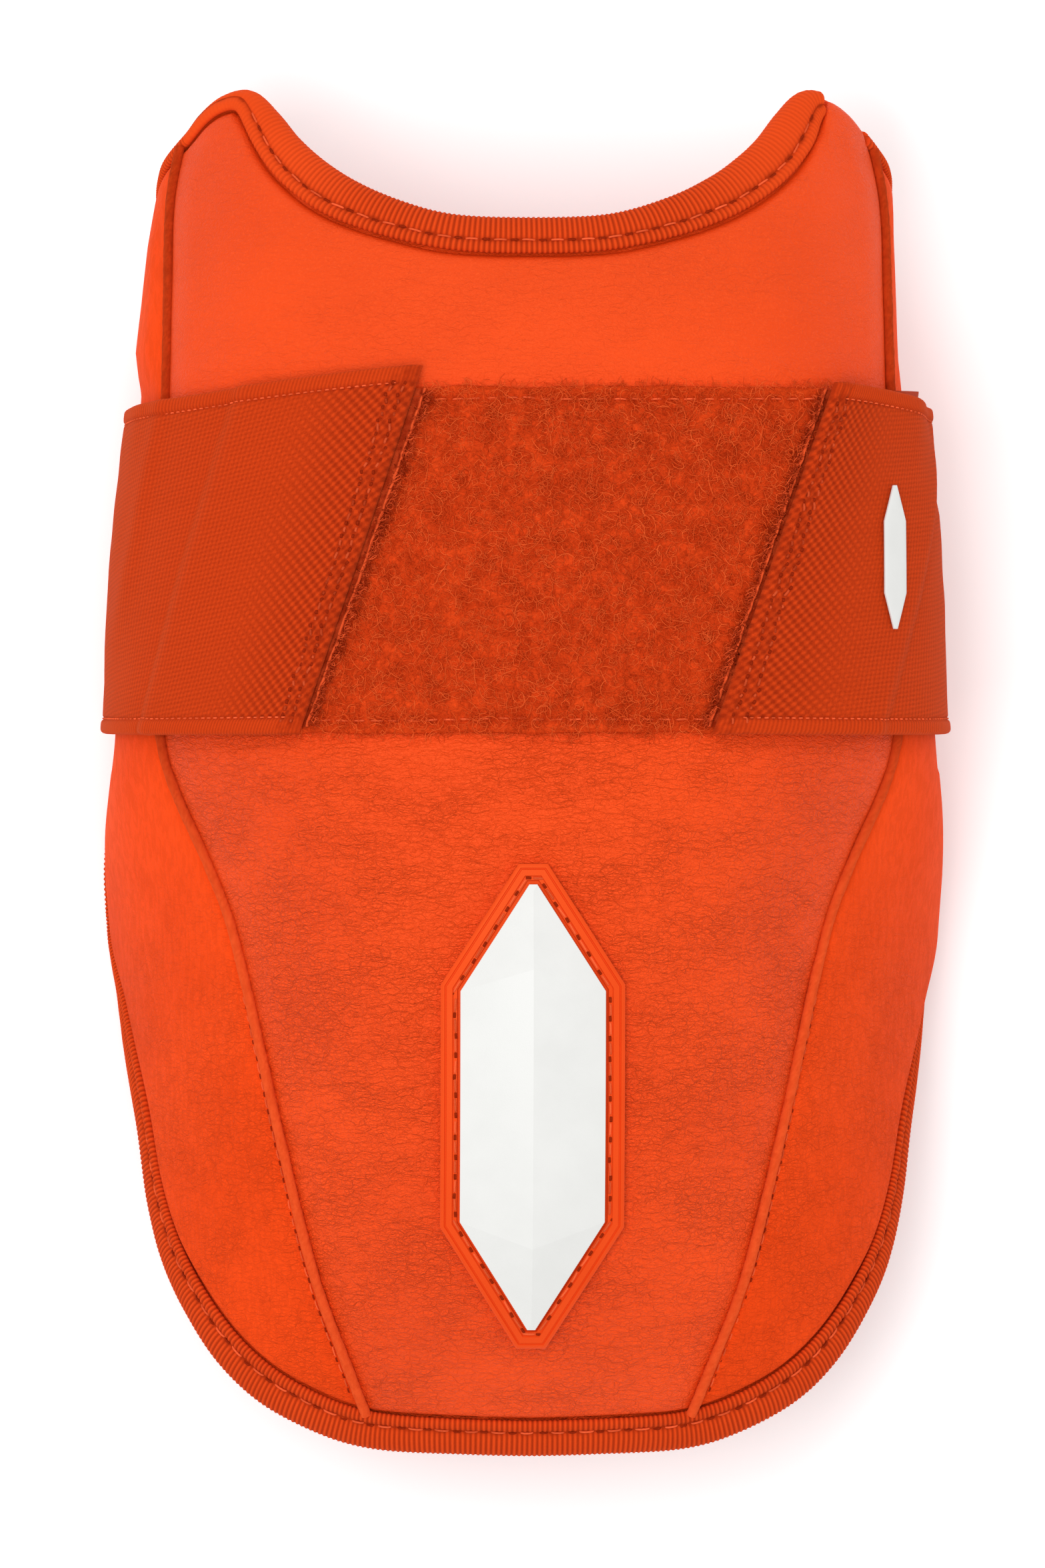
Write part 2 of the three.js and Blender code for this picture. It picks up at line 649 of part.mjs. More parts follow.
function strapSide(side, across) {
  const middle = side < 0 ? LEFT_END : RIGHT_END;
  const flare = flareOf(side);
  const yAt = (share) => STRAP_FOOT + across * (STRAP_WIDTH + flare * (1 - smooth(share, -0.2, 1)));
  const points = [];
  const from = arcAtX(endX(middle, across), yAt(0));
  const half = STRAP_THICK / 2;
  for (let k = 0; k <= FRONT_STATIONS; k += 1) {
    const share = k / FRONT_STATIONS;
    const y = yAt(share);
    const s = lerp(from, side * widestArc(y), share);
    points.push(raised({ s, y }, strapUnderside(side, from, { s, y }) + half));
  }
  const y = yAt(1);
  const low = arcAtHeight(STRAP_BEND, y);
  const widest = widestArc(y);
  for (let k = 1; k <= SIDE_STATIONS; k += 1) {
    points.push(raised({ s: side * lerp(widest, low, k / SIDE_STATIONS), y }, LAY_GAP + half));
  }
  const start = points.at(-1);
  const down = start.clone().sub(points.at(-2)).normalize();
  const flatX = skin(side * arcAtHeight(TUCK + STRAP_ROOM, y), y).x - side * STRAP_LANDING;
  const landing = new THREE.Vector3(flatX, y, half);
  const pull = start.distanceTo(landing) * BEND_PULL;
  const bend = new THREE.CubicBezierCurve3(start, start.clone().addScaledVector(down, pull * BEND_DROP),
    landing.clone().setX(flatX + side * pull), landing);
  for (let k = 1; k <= BEND_STATIONS; k += 1) points.push(bend.getPoint(k / BEND_STATIONS));
  return points;
}

function gridNormals(grid) {
  return grid.map((row, r) => row.map((_, c) => {
    const across = row[Math.min(c + 1, row.length - 1)].clone().sub(row[Math.max(c - 1, 0)]);
    const along = grid[Math.min(r + 1, grid.length - 1)][c].clone().sub(grid[Math.max(r - 1, 0)][c]);
    return across.cross(along).normalize();
  }));
}

function strap() {
  const grid = [];
  for (let r = 0; r <= STRAP_ROWS; r += 1) {
    const across = r / STRAP_ROWS;
    grid.push([...strapSide(-1, across), ...strapSide(1, across).reverse()]);
  }
  const normals = gridNormals(grid);
  const half = STRAP_THICK / 2;
  const offset = (amount) => grid.map((row, r) => row.map((point, c) => {
    const moved = point.clone().addScaledVector(normals[r][c], amount);
    if (Math.abs(point.z - half) < 1e-6) moved.set(point.x, point.y, half + Math.sign(normals[r][c].z) * amount);
    return moved;
  }));
  return slab(offset(half), offset(-half));
}

const HOOK_COLUMNS = 6;
const HOOK_ROWS = 5;
function hookTab(side) {
  const middle = side < 0 ? LEFT_END : RIGHT_END;
  const grid = [];
  for (let r = 0; r <= HOOK_ROWS; r += 1) {
    const across = lerp(0.02, 0.98, r / HOOK_ROWS);
    const y = lerp(LOOP_FOOT, LOOP_FOOT + LOOP_WIDTH, across);
    const from = arcAtX(endX(middle, across) - side * HOOK_PEEK, y);
    grid.push(Array.from({ length: HOOK_COLUMNS + 1 },
      (_, c) => ({ s: from + (side * HOOK_DEEP * c) / HOOK_COLUMNS, y })));
  }
  return layered(grid, HOOK_FOOT, HOOK_TOP);
}

// An upright shape with six corners on the skin: straight flanks, and both ends brought to a short flat tip
const FLANK = 0.5;
const TIP_WIDE = 0.16;
function hexagon(high, wide, middle, columns) {
  const rows = [-1, -0.75, -FLANK, -0.25, 0, 0.25, FLANK, 0.75, 1];
  return rows.map((row) => {
    const y = middle.y + (row * high) / 2;
    const share = Math.abs(row) <= FLANK ? 1 : lerp(1, TIP_WIDE, (Math.abs(row) - FLANK) / (1 - FLANK));
    return Array.from({ length: columns + 1 }, (_, c) => {
      const u = (2 * c) / columns - 1;
      const ridge = (1 - Math.abs(u)) * (1 - Math.abs(row) ** 4);
      return { s: middle.s + (u * share * wide) / 2, y, ridge };
    });
  });
}

function raisedShape(high, wide, middle, foot, thick, ridge) {
  const columns = wide > 10 ? 6 : 2;
  const grid = hexagon(high, wide, middle, columns);
  const place = (height) => grid.map((row) => row.map((spot) => raised(spot, foot(spot) + height(spot.ridge))));
  return slab(place((share) => thick + ridge * share), place(() => 0));
}

const badgeSpot = { s: 0, y: BADGE_MIDDLE };
const badgeBase = () => raisedShape(BADGE_HIGH, BADGE_WIDE, badgeSpot, () => LAY_GAP, BADGE_THICK, 0);
const badgePlate = () => raisedShape(BADGE_HIGH - 4 * BADGE_BORDER, BADGE_WIDE - 2 * BADGE_BORDER, badgeSpot,
  () => 2 * LAY_GAP + BADGE_THICK, PLATE_THICK, PLATE_RIDGE);

function strapMark() {
  const y = STRAP_FOOT + STRAP_WIDTH / 2 + STRAP_FLARE_RIGHT / 2;
  const middle = { s: arcAtX(MARK_X, y), y };
  const onStrap = (spot) => {
    const across = (spot.y - STRAP_FOOT) / (STRAP_WIDTH + STRAP_FLARE_RIGHT);
    const from = arcAtX(endX(RIGHT_END, across), spot.y);
    return strapUnderside(1, from, spot) + STRAP_THICK + MARK_CLEAR;
  };
  return raisedShape(MARK_HIGH, MARK_WIDE, middle, onStrap, MARK_THICK, 0);
}

const leather = new THREE.MeshStandardMaterial({ color: 0xe8531f, roughness: 0.55, metalness: 0 });
const ribbed = new THREE.MeshStandardMaterial({ color: 0xd24a1b, roughness: 0.85, metalness: 0 });
const elastic = new THREE.MeshStandardMaterial({ color: 0xc43e17, roughness: 0.8, metalness: 0 });
const loopPile = new THREE.MeshStandardMaterial({ color: 0xd54419, roughness: 0.95, metalness: 0 });
const rubber = new THREE.MeshStandardMaterial({ color: 0xe2501f, roughness: 0.5, metalness: 0 });
const white = new THREE.MeshStandardMaterial({ color: 0xf2f2f0, roughness: 0.4, metalness: 0 });

const pieces = {
  front_panel: [frontPad, leather],
  side_panel_left: [() => sidePad(-1), leather],
  side_panel_right: [() => sidePad(1), leather],
  neckline_binding: [neckBinding, ribbed],
  edge_binding: [edgeBinding, ribbed],
  piping_left: [() => piping(-1), leather],
  piping_right: [() => piping(1), leather],
  loop_panel: [loopField, loopPile],
  elastic_strap: [strap, elastic],
  hook_tab_left: [() => hookTab(-1), loopPile],
  hook_tab_right: [() => hookTab(1), loopPile],
  badge_base: [badgeBase, rubber],
  badge_plate: [badgePlate, white],
  strap_mark: [strapMark, white],
};

const guard = new THREE.Group();
guard.name = 'elbow_guard';
for (const [name, [shape, material]] of Object.entries(pieces)) {
  const mesh = new THREE.Mesh(shape(), material.clone());
  mesh.name = name;
  guard.add(mesh);
}

export default guard;
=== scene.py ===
# %% [markdown]
# # A padded elbow guard
#
# The real guard is a leather shell filled with foam: one front pad and two side pads, sewn together over a
# piping, bound along the whole edge with ribbed tape and closed by an elastic strap that presses onto a field
# of loops. The frame holds those pieces as plain solids. Here each piece gets its true surface, in the place
# where the frame has it.

# %% Load the frame
import math

import bpy
import numpy as np
from mathutils import Matrix, Vector


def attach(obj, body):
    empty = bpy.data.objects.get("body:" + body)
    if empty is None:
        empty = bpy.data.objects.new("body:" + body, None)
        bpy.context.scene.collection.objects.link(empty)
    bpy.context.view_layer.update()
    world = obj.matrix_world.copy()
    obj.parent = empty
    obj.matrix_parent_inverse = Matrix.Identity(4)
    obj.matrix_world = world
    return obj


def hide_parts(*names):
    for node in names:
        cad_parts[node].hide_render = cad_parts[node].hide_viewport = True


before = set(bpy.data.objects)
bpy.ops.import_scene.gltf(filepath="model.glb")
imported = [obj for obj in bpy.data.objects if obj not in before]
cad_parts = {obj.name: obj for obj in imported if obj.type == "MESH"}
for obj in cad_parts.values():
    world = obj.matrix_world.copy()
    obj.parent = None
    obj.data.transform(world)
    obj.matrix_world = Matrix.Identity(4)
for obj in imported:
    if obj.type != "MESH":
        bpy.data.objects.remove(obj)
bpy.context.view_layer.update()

bpy.ops.object.select_all(action="DESELECT")
MM = 0.001

# %% [markdown]
# ## Camera, light and floor
#
# The photograph looks straight down on the guard as it lies on its back, a little from the left, so the crown
# sits a millimetre further right than its outline does. A long lens far away keeps the outline free of
# perspective. The picture is almost without shadow, so a white sky does most of the work, and two large soft
# boxes give the leather its broad sheen. The floor is a pale sheet that glows a little, like the top of a light
# table, so that the guard's own colour hardly tints it.

# %% Camera
PHOTO_HIGH = 2352
PX_PER_MM = 8.749
SENSOR = 36
CAMERA_FAR = 6.0
CAMERA_LEAN = math.radians(1.6)
AIM = np.array([-0.0007, -0.0019, 0.045])

toward_camera = np.array([-math.sin(CAMERA_LEAN), 0, math.cos(CAMERA_LEAN)])
to_the_right = np.cross([0, 1, 0], toward_camera)
bpy.ops.object.camera_add()
camera = bpy.context.object
camera.data.sensor_width = SENSOR
camera.data.lens = SENSOR * CAMERA_FAR / (PHOTO_HIGH / PX_PER_MM * MM)
axes = np.column_stack([to_the_right, np.cross(toward_camera, to_the_right), toward_camera])
camera.matrix_world = Matrix.Translation(AIM + toward_camera * CAMERA_FAR) @ Matrix(axes.tolist()).to_4x4()
bpy.context.scene.camera = camera
print("lens", round(camera.data.lens, 1), "mm")

# %% Light and floor
SKY = 0.74
FLOOR_WIDE, FLOOR_WHITE, FLOOR_GLOW = 8, 0.97, 0.2
WHITE = (1, 1, 1, 1)

world = bpy.data.worlds.new("studio")
world.use_nodes = True
world.node_tree.nodes["Background"].inputs["Color"].default_value = WHITE
world.node_tree.nodes["Background"].inputs["Strength"].default_value = SKY
bpy.context.scene.world = world
bpy.context.scene.view_settings.view_transform = "Standard"


def soft_box(name, spot, wide, high, power):
    """A large area light that looks at the guard."""
    bpy.ops.object.light_add(type="AREA", location=spot)
    light = bpy.context.object
    light.name = name
    light.data.shape = "RECTANGLE"
    light.data.size, light.data.size_y, light.data.energy = wide, high, power
    light.rotation_euler = Vector(spot).to_track_quat("Z", "Y").to_euler()
    light.visible_camera = False


soft_box("overhead_box", (-0.28, -0.06, 1.48), 0.6, 0.5, 8.6)
soft_box("neckline_box", (0.0, 0.75, 1.4), 0.7, 0.4, 3.0)
bpy.ops.mesh.primitive_plane_add(size=FLOOR_WIDE)
floor = bpy.context.object
floor.name = "floor"
floor_paint = bpy.data.materials.new("floor_paint")
floor_paint.use_nodes = True
floor_values = {"Base Color": (FLOOR_WHITE, FLOOR_WHITE, FLOOR_WHITE, 1), "Roughness": 0.9,
                "Emission Color": WHITE, "Emission Strength": FLOOR_GLOW}
for key, value in floor_values.items():
    floor_paint.node_tree.nodes["Principled BSDF"].inputs[key].default_value = value
floor.data.materials.append(floor_paint)

# %% [markdown]
# ## The skin that everything lies on
#
# All pieces follow one surface: the outside of the shell. It is described once, as cross sections along the
# arm, and kept as a table of points over two distances: `s` runs across the guard from the crown, `y` runs
# along it. A piece is then drawn flat in those two distances and laid on the skin with `place`, like cloth
# that is cut flat and sewn on. Lengths are in millimetres here, and a mesh turns them into metres.

# %% Sizes of the shell
LENGTH, WIDTH, DEPTH = 234, 143.6, 84
SQUARENESS = 2.25
CROWN_AT, FOOT_DROP, FOOT_CURVE, HEAD_DROP, HEAD_CURVE = -0.08, 0.34, 3.2, 0.28, 3
UNDERTURN = 0.83
# Points of a section from the crown down to where it is widest, and from there on as it turns under
UPPER_POINTS, UNDER_POINTS = 361, 141
TAPE_THICK, TAPE_CLEAR = 1.2, 0.45
TUCK = TAPE_THICK + TAPE_CLEAR
EDGE_DEEP = TUCK + 4
STRAP_THICK = 2
STRAP_ROOM = STRAP_THICK + 0.8
LAY_GAP = 0.35
LOOP_TOP = LAY_GAP + 1.2
HOOK_FOOT = LOOP_TOP + LAY_GAP
HOOK_TOP = HOOK_FOOT + 0.8

# Shares: along the half length, of the half width, and of the depth where the section is widest
SECTIONS = np.array([
    (-1.00, 0.965, 0), (-0.44, 0.967, 0), (-0.34, 0.970, 0), (-0.24, 0.990, 0), (-0.10, 1.000, 0.16),
    (0.05, 0.981, 0.40), (0.31, 0.962, 0.45), (0.56, 0.930, 0.44), (0.78, 0.894, 0.41), (1.00, 0.845, 0.36),
], dtype=[("along", float), ("wide", float), ("level", float)])


def ease(value, start, end):
    """0 before start, 1 after end, and a smooth rise between them."""
    share = np.clip((value - start) / (end - start), 0, 1)
    return share * share * (3 - 2 * share)


def reach_along(points):
    """How far each point lies from the first one, along the line through them all."""
    return np.r_[0, np.cumsum(np.linalg.norm(np.diff(points, axis=0), axis=1))]


def read_section(key, along):
    """A column of the table as a smooth curve that never overshoots its rows."""
    at, rows = SECTIONS["along"], SECTIONS[key]
    slope = np.diff(rows) / np.diff(at)
    before, after = np.r_[slope[0], slope], np.r_[slope, slope[-1]]
    product = before * after
    tangent = np.where(product > 0, 2 * product / np.where(product > 0, before + after, 1), 0)
    i = np.clip(np.searchsorted(at, along) - 1, 0, len(at) - 2)
    span = at[i + 1] - at[i]
    t = np.clip((along - at[i]) / span, 0, 1)
    return ((2 * t**3 - 3 * t**2 + 1) * rows[i] + (t**3 - 2 * t**2 + t) * span * tangent[i]
            + (3 * t**2 - 2 * t**3) * rows[i + 1] + (t**3 - t**2) * span * tangent[i + 1])


def section(y):
    """Right half of the cross section at y: x, z and the distance from the crown over the skin."""
    along = np.clip(y / (LENGTH / 2), -1.1, 1.1)
    half = WIDTH / 2 * read_section("wide", along)
    level = TUCK + DEPTH * read_section("level", along)
    if along < CROWN_AT:
        drop = FOOT_DROP * ((CROWN_AT - along) / (CROWN_AT + 1)) ** FOOT_CURVE
    else:
        drop = HEAD_DROP * ((along - CROWN_AT) / (1 - CROWN_AT)) ** HEAD_CURVE
    turn = np.linspace(0, np.pi / 2, UPPER_POINTS)
    fall = np.radians(np.linspace(0, 75, UNDER_POINTS))[1:]
    x = np.r_[half * np.sin(turn) ** (2 / SQUARENESS), half * np.cos(fall)]
    upper = np.maximum(np.cos(turn), 0) ** (2 / SQUARENESS)
    z = np.r_[level + (DEPTH * (1 - drop) - level) * upper, level - DEPTH * UNDERTURN * np.sin(fall)]
    return x, z, reach_along(np.column_stack([x, z]))


# %% The skin as a table
STEP = 0.5
GRID_Y = np.arange(-120, 120.01, STEP)
GRID_S = np.arange(-159, 159.01, STEP)
SEAM_OUT = 0.880
STRAP_BEND = 11

skin = np.empty((len(GRID_Y), len(GRID_S), 3))
widest_at, rest_at, bend_at, landing_at, seam_at = (np.empty(len(GRID_Y)) for _ in range(5))
for row, y in enumerate(GRID_Y):
    x, z, arc = section(y)
    skin[row, :, 0] = np.sign(GRID_S) * np.interp(np.abs(GRID_S), arc, x)
    skin[row, :, 1] = y
    skin[row, :, 2] = np.interp(np.abs(GRID_S), arc, z)
    widest_at[row] = arc[UPPER_POINTS - 1]
    rest_at[row], bend_at[row], landing_at[row] = np.interp([-TUCK, -STRAP_BEND, -TUCK - STRAP_ROOM], -z, arc)
    seam_at[row] = np.interp(SEAM_OUT * WIDTH / 2, x[:UPPER_POINTS], arc[:UPPER_POINTS])
skin_across = np.gradient(skin, STEP, axis=1)
skin_along = np.gradient(skin, STEP, axis=0)
skin_normal = np.cross(skin_across, skin_along)
skin_normal /= np.linalg.norm(skin_normal, axis=2, keepdims=True)


def read(table, s, y):
    """A table's value at each spot, straight between its rows and columns."""
    r = np.clip((np.asarray(y, float) - GRID_Y[0]) / STEP, 0, len(GRID_Y) - 1.001)
    c = np.clip((np.asarray(s, float) - GRID_S[0]) / STEP, 0, len(GRID_S) - 1.001)
    r0, c0 = r.astype(int), c.astype(int)
    r, c = (r - r0)[..., None], (c - c0)[..., None]
    low = table[r0, c0] * (1 - c) + table[r0, c0 + 1] * c
    return low * (1 - r) + (table[r0 + 1, c0] * (1 - c) + table[r0 + 1, c0 + 1] * c) * r


def unit(vectors):
    return vectors / np.linalg.norm(vectors, axis=-1, keepdims=True)


def skin_up(s, y):
    return unit(read(skin_normal, s, y))


def place(s, y, lift=0.0):
    """The point in space over a spot of the skin, raised off it by lift."""
    return read(skin, s, y) + skin_up(s, y) * np.asarray(lift, float)[..., None]


def walk(s, y, direction, distance):
    """The spots that lie a distance away over the skin, in a direction in space."""
    s, y = np.array(s, float), np.array(y, float)
    count = max(1, math.ceil(np.abs(distance).max()))
    for _ in range(count):
        across, along = read(skin_across, s, y), read(skin_along, s, y)
        a, b, c = (across * across).sum(-1), (across * along).sum(-1), (along * along).sum(-1)
        p, q = (across * direction).sum(-1), (along * direction).sum(-1)
        ds, dy = c * p - b * q, a * q - b * p
        scale = distance / count / np.linalg.norm(across * ds[..., None] + along * dy[..., None], axis=-1)
        s, y = s + ds * scale, y + dy * scale
    return s, y


print("skin table", skin.shape, "highest point", round(skin[..., 2].max(), 1), "mm")

# %% [markdown]
# ## The edge and the two long seams
#
# Both are drawn through a few knots, measured on the guard as shares of its half length and half width. Below
# the widest level a knot gives its height instead, because there the skin turns under and is hidden from
# above. A centripetal Catmull-Rom curve goes through every knot without loops.

# %% Edge and seam curves
NOT = np.nan
# Along, out to the side or up from the resting height, and how much of the room under the strap it leaves
EDGE_KNOTS = np.array([
    (0.806, 0, NOT, 0), (0.812, 0.20, NOT, 0), (0.832, 0.32, NOT, 0), (0.856, 0.414, NOT, 0),
    (0.888, 0.500, NOT, 0), (0.928, 0.576, NOT, 0), (0.970, 0.634, NOT, 0), (0.995, 0.682, NOT, 0),
    (0.989, 0.732, NOT, 0), (0.966, 0.783, NOT, 0), (0.936, 0.821, NOT, 0), (0.886, NOT, 0.36, 1),
    (0.838, NOT, 0.23, 1), (0.770, NOT, 0.115, 1), (0.680, NOT, 0.035, 1), (0.570, NOT, 0, 1),
    (0.310, NOT, 0, 1), (0.070, NOT, 0, 1), (0.020, NOT, 0, 0.9), (-0.050, NOT, 0, 0.3), (-0.120, NOT, 0, 0),
    (-0.235, NOT, 0, 0), (-0.290, NOT, 0.036, 0), (-0.345, NOT, 0.100, 0), (-0.430, NOT, 0.212, 0),
    (-0.520, 0.931, NOT, 0), (-0.620, 0.911, NOT, 0), (-0.712, 0.877, NOT, 0), (-0.794, 0.817, NOT, 0),
    (-0.864, 0.741, NOT, 0), (-0.920, 0.644, NOT, 0), (-0.959, 0.530, NOT, 0), (-0.981, 0.436, NOT, 0),
    (-0.991, 0.352, NOT, 0), (-0.997, 0.180, NOT, 0), (-1.000, 0, NOT, 0),
], dtype=[("along", float), ("out", float), ("up", float), ("strap", float)])
SEAM_HEAD, SEAM_FOOT = 10, 33
SEAM_KNOTS = np.array([
    (0.840, 0.850), (0.700, 0.858), (0.560, 0.864), (0.310, SEAM_OUT), (0.110, 0.887), (0.020, 0.868),
    (-0.040, 0.834), (-0.130, 0.768), (-0.220, 0.712), (-0.370, 0.654), (-0.550, 0.589), (-0.740, 0.511),
    (-0.865, 0.435), (-0.935, 0.390),
], dtype=[("along", float), ("out", float)])
PER_KNOT = 24
COARSE_GAP = 1.6
SIDES = ((-1, "left"), (1, "right"))


def arc_at_x(x, y):
    """How far across the skin a width lies."""
    across, _, arc = section(y)
    return np.sign(x) * np.interp(abs(x), across[:UPPER_POINTS], arc[:UPPER_POINTS])


def edge_knot(knot):
    y = knot["along"] * LENGTH / 2
    if not np.isnan(knot["out"]):
        return arc_at_x(knot["out"] * WIDTH / 2, y), y
    _, z, arc = section(y)
    return np.interp(-(TUCK + knot["strap"] * STRAP_ROOM + knot["up"] * DEPTH), -z, arc), y


def curve_through(knots, closed):
    """PER_KNOT spots to each span of a centripetal Catmull-Rom curve."""
    if closed:
        p0, p1, p2, p3 = (np.roll(knots, shift, 0) for shift in (1, 0, -1, -2))
    else:
        padded = np.vstack([2 * knots[0] - knots[1], knots, 2 * knots[-1] - knots[-2]])
        p0, p1, p2, p3 = padded[:-3], padded[1:-2], padded[2:-1], padded[3:]
    d0, d1, d2 = (np.sqrt(np.linalg.norm(b - a, axis=1))[:, None] for a, b in ((p0, p1), (p1, p2), (p2, p3)))
    m1 = d1 * ((p1 - p0) / d0 - (p2 - p0) / (d0 + d1) + (p2 - p1) / d1)
    m2 = d1 * ((p2 - p1) / d1 - (p3 - p1) / (d1 + d2) + (p3 - p2) / d2)
    t = (np.arange(PER_KNOT) / PER_KNOT)[None, :, None]
    p1, p2, m1, m2 = (part[:, None] for part in (p1, p2, m1, m2))
    spots = (2 * t**3 - 3 * t**2 + 1) * p1 + (t**3 - 2 * t**2 + t) * m1 + (3 * t**2 - 2 * t**3) * p2
    spots = (spots + (t**3 - t**2) * m2).reshape(-1, 2)
    return np.vstack([spots, knots[:1] if closed else knots[-1:]])


def spots_on(line, reach, at):
    """The spots of a line at the distances at, where reach holds the distance of each of its own spots."""
    return np.column_stack([np.interp(at, reach, line[:, 0]), np.interp(at, reach, line[:, 1])])


def evenly(line, gap, fit=1):
    """Spots with a given gap in space along a line, their number a multiple of fit, plus one."""
    reach = reach_along(place(*line.T))
    count = max(1, round(reach[-1] / gap / fit)) * fit
    at = np.linspace(0, reach[-1], count + 1)
    return spots_on(line, reach, at), at


right_knots = np.array([edge_knot(knot) for knot in EDGE_KNOTS])
edge_knots = np.vstack([right_knots, right_knots[-2:0:-1] * [-1, 1]])
edge_line = curve_through(edge_knots, True)
limit = np.interp(edge_line[:, 1], GRID_Y, rest_at)
edge_line[:, 0] = np.clip(edge_line[:, 0], -limit, limit)


def on_edge(start, end):
    """The edge between two knots, by number. Left knots count backwards from the middle of the neckline."""
    at = np.arange(round(start * PER_KNOT), round(end * PER_KNOT) + 1) % (len(edge_line) - 1)
    return edge_line[at]


def seam_curve(side):
    knots = [(arc_at_x(knot["out"] * WIDTH / 2, knot["along"] * LENGTH / 2), knot["along"] * LENGTH / 2)
             for knot in SEAM_KNOTS]
    knots = np.vstack([right_knots[SEAM_HEAD], knots, right_knots[SEAM_FOOT]])
    return curve_through(knots, False) * [side, 1]


seam_line = {side: seam_curve(side) for side in (-1, 1)}
edge_coarse, _ = evenly(edge_line, COARSE_GAP)
seam_coarse = {side: evenly(seam_line[side], COARSE_GAP)[0] for side in (-1, 1)}


BATCH = 4000


def distance_to(line, s, y):
    """How far each spot lies from a line on the skin, and how far along that line its nearest point is."""
    here = place(s, y).reshape(-1, 3)
    ends = place(*line.T)
    start, way = ends[:-1], np.diff(ends, axis=0)
    square = (way**2).sum(1)
    reach = np.r_[0, np.cumsum(np.sqrt(square))]
    far, along = np.empty(len(here)), np.empty(len(here))
    for low in range(0, len(here), BATCH):
        gap = here[low:low + BATCH, None] - start
        share = np.clip((gap * way).sum(2) / square, 0, 1)
        gap = ((gap - share[..., None] * way) ** 2).sum(2)
        best, each = gap.argmin(1), np.arange(len(gap))
        far[low:low + BATCH] = np.sqrt(gap[each, best])
        along[low:low + BATCH] = reach[best] + share[each, best] * np.sqrt(square[best])
    return far.reshape(np.shape(s)), along.reshape(np.shape(s))


edge_length = evenly(edge_line, 1)[1][-1]
print("the edge is", round(edge_length), "mm round, a seam", round(evenly(seam_line[1], 1)[1][-1]), "mm long")

# %% [markdown]
# ## Helpers for meshes
#
# A pad, a sheet or a strap is a closed body: a fine grid outside, where its surface is seen, and a coarser one
# inside, joined round the rim by fans of triangles. A woven mesh also keeps two things for its material: a UV
# map named `lay`, in millimetres along and across the piece, so that ribs and weave follow it, and a number
# from 0 to 1 that darkens its colour. On ribs, knots, sewn lines and under the strap's cut it is painted shade,
# 0 at the bottom of a groove and 1 on a crest; on a strand or a stitch it is that strand's own shade.

# %% Mesh helpers
def soft_noise(a, b, seed):
    """Smooth random heights from -1 to 1, one bump to each unit of a and b."""
    lattice = np.random.default_rng(seed).uniform(-1, 1, (257, 257))
    a, b = np.broadcast_arrays(np.asarray(a, float), np.asarray(b, float))
    i, j = np.floor(a).astype(int), np.floor(b).astype(int)
    a, b = ease(a - i, 0, 1), ease(b - j, 0, 1)
    i, j = i % 256, j % 256
    low = lattice[i, j] * (1 - a) + lattice[i + 1, j] * a
    return low * (1 - b) + (lattice[i, j + 1] * (1 - a) + lattice[i + 1, j + 1] * a) * b


def closed_sheet(outer, inner, step):
    """Faces of a body between a fine grid and a grid of every step-th point of it, and all its points."""
    def cells(shape, first):
        at = first + np.arange(shape[0] * shape[1]).reshape(shape[:2])
        quads = np.stack([at[:-1, :-1], at[:-1, 1:], at[1:, 1:], at[1:, :-1]], -1).reshape(-1, 4)
        return quads, np.concatenate([at[0, :-1], at[:-1, -1], at[-1, :0:-1], at[:0:-1, 0]])

    top, fine = cells(outer.shape, 0)
    back, coarse = cells(inner.shape, outer.shape[0] * outer.shape[1])
    faces = top.tolist() + back[:, ::-1].tolist()
    for i, here in enumerate(coarse):
        after = coarse[(i + 1) % len(coarse)]
        for j in range(step):
            a, b = fine[i * step + j], fine[(i * step + j + 1) % len(fine)]
            faces.append([b, a, here if j < step / 2 else after])
        faces.append([here, after, fine[i * step + (step + 1) // 2 if step > 1 else (i + 1) % len(fine)]])
    points = np.vstack([outer.reshape(-1, 3), inner.reshape(-1, 3)])
    a, b, c, _ = points[top.T]
    inside_out = (np.cross(b - a, c - a) * (a - inner.reshape(-1, 3).mean(0))).sum() < 0
    return points, [face[::-1] for face in faces] if inside_out else faces


def new_piece(name, points, faces, lay=None, tone=None):
    """An object from points in millimetres, with its lay and, at each point, the number that shades its colour.
    """
    mesh = bpy.data.meshes.new(name)
    mesh.from_pydata((points * MM).tolist(), [], faces)
    if lay is not None:
        corner = np.empty(len(mesh.loops), np.int32)
        mesh.loops.foreach_get("vertex_index", corner)
        mesh.uv_layers.new(name="lay").data.foreach_set("uv", lay[corner].astype(np.float32).ravel())
    if tone is not None:
        mesh.attributes.new("tone", "FLOAT", "POINT").data.foreach_set("value", tone.astype(np.float32))
    piece = bpy.data.objects.new(name, mesh)
    bpy.context.scene.collection.objects.link(piece)
    return piece


def with_inner(values, step, fill=None):
    """Values for the fine grid, followed by those of the coarse one."""
    low = values[::step, ::step] if fill is None else np.full_like(values[::step, ::step], fill)
    shape = (-1, values.shape[2]) if values.ndim == 3 else (-1,)
    return np.concatenate([values.reshape(shape), low.reshape(shape)])


def finished(piece, finish, slot, *nodes, crisp=60):
    """Gives a piece its material, shading and body, and hides the solids that it stands for. slot is not used.
    """
    piece.data.materials.append(finish)
    bpy.context.view_layer.objects.active = piece
    piece.select_set(True)
    bpy.ops.object.shade_smooth_by_angle(angle=math.radians(crisp))
    bpy.ops.object.select_all(action="DESELECT")
    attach(piece, "root")
    if nodes:
        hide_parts(*nodes)
    print(piece.name, sum(len(face.vertices) - 2 for face in piece.data.polygons), "triangles")
    return piece


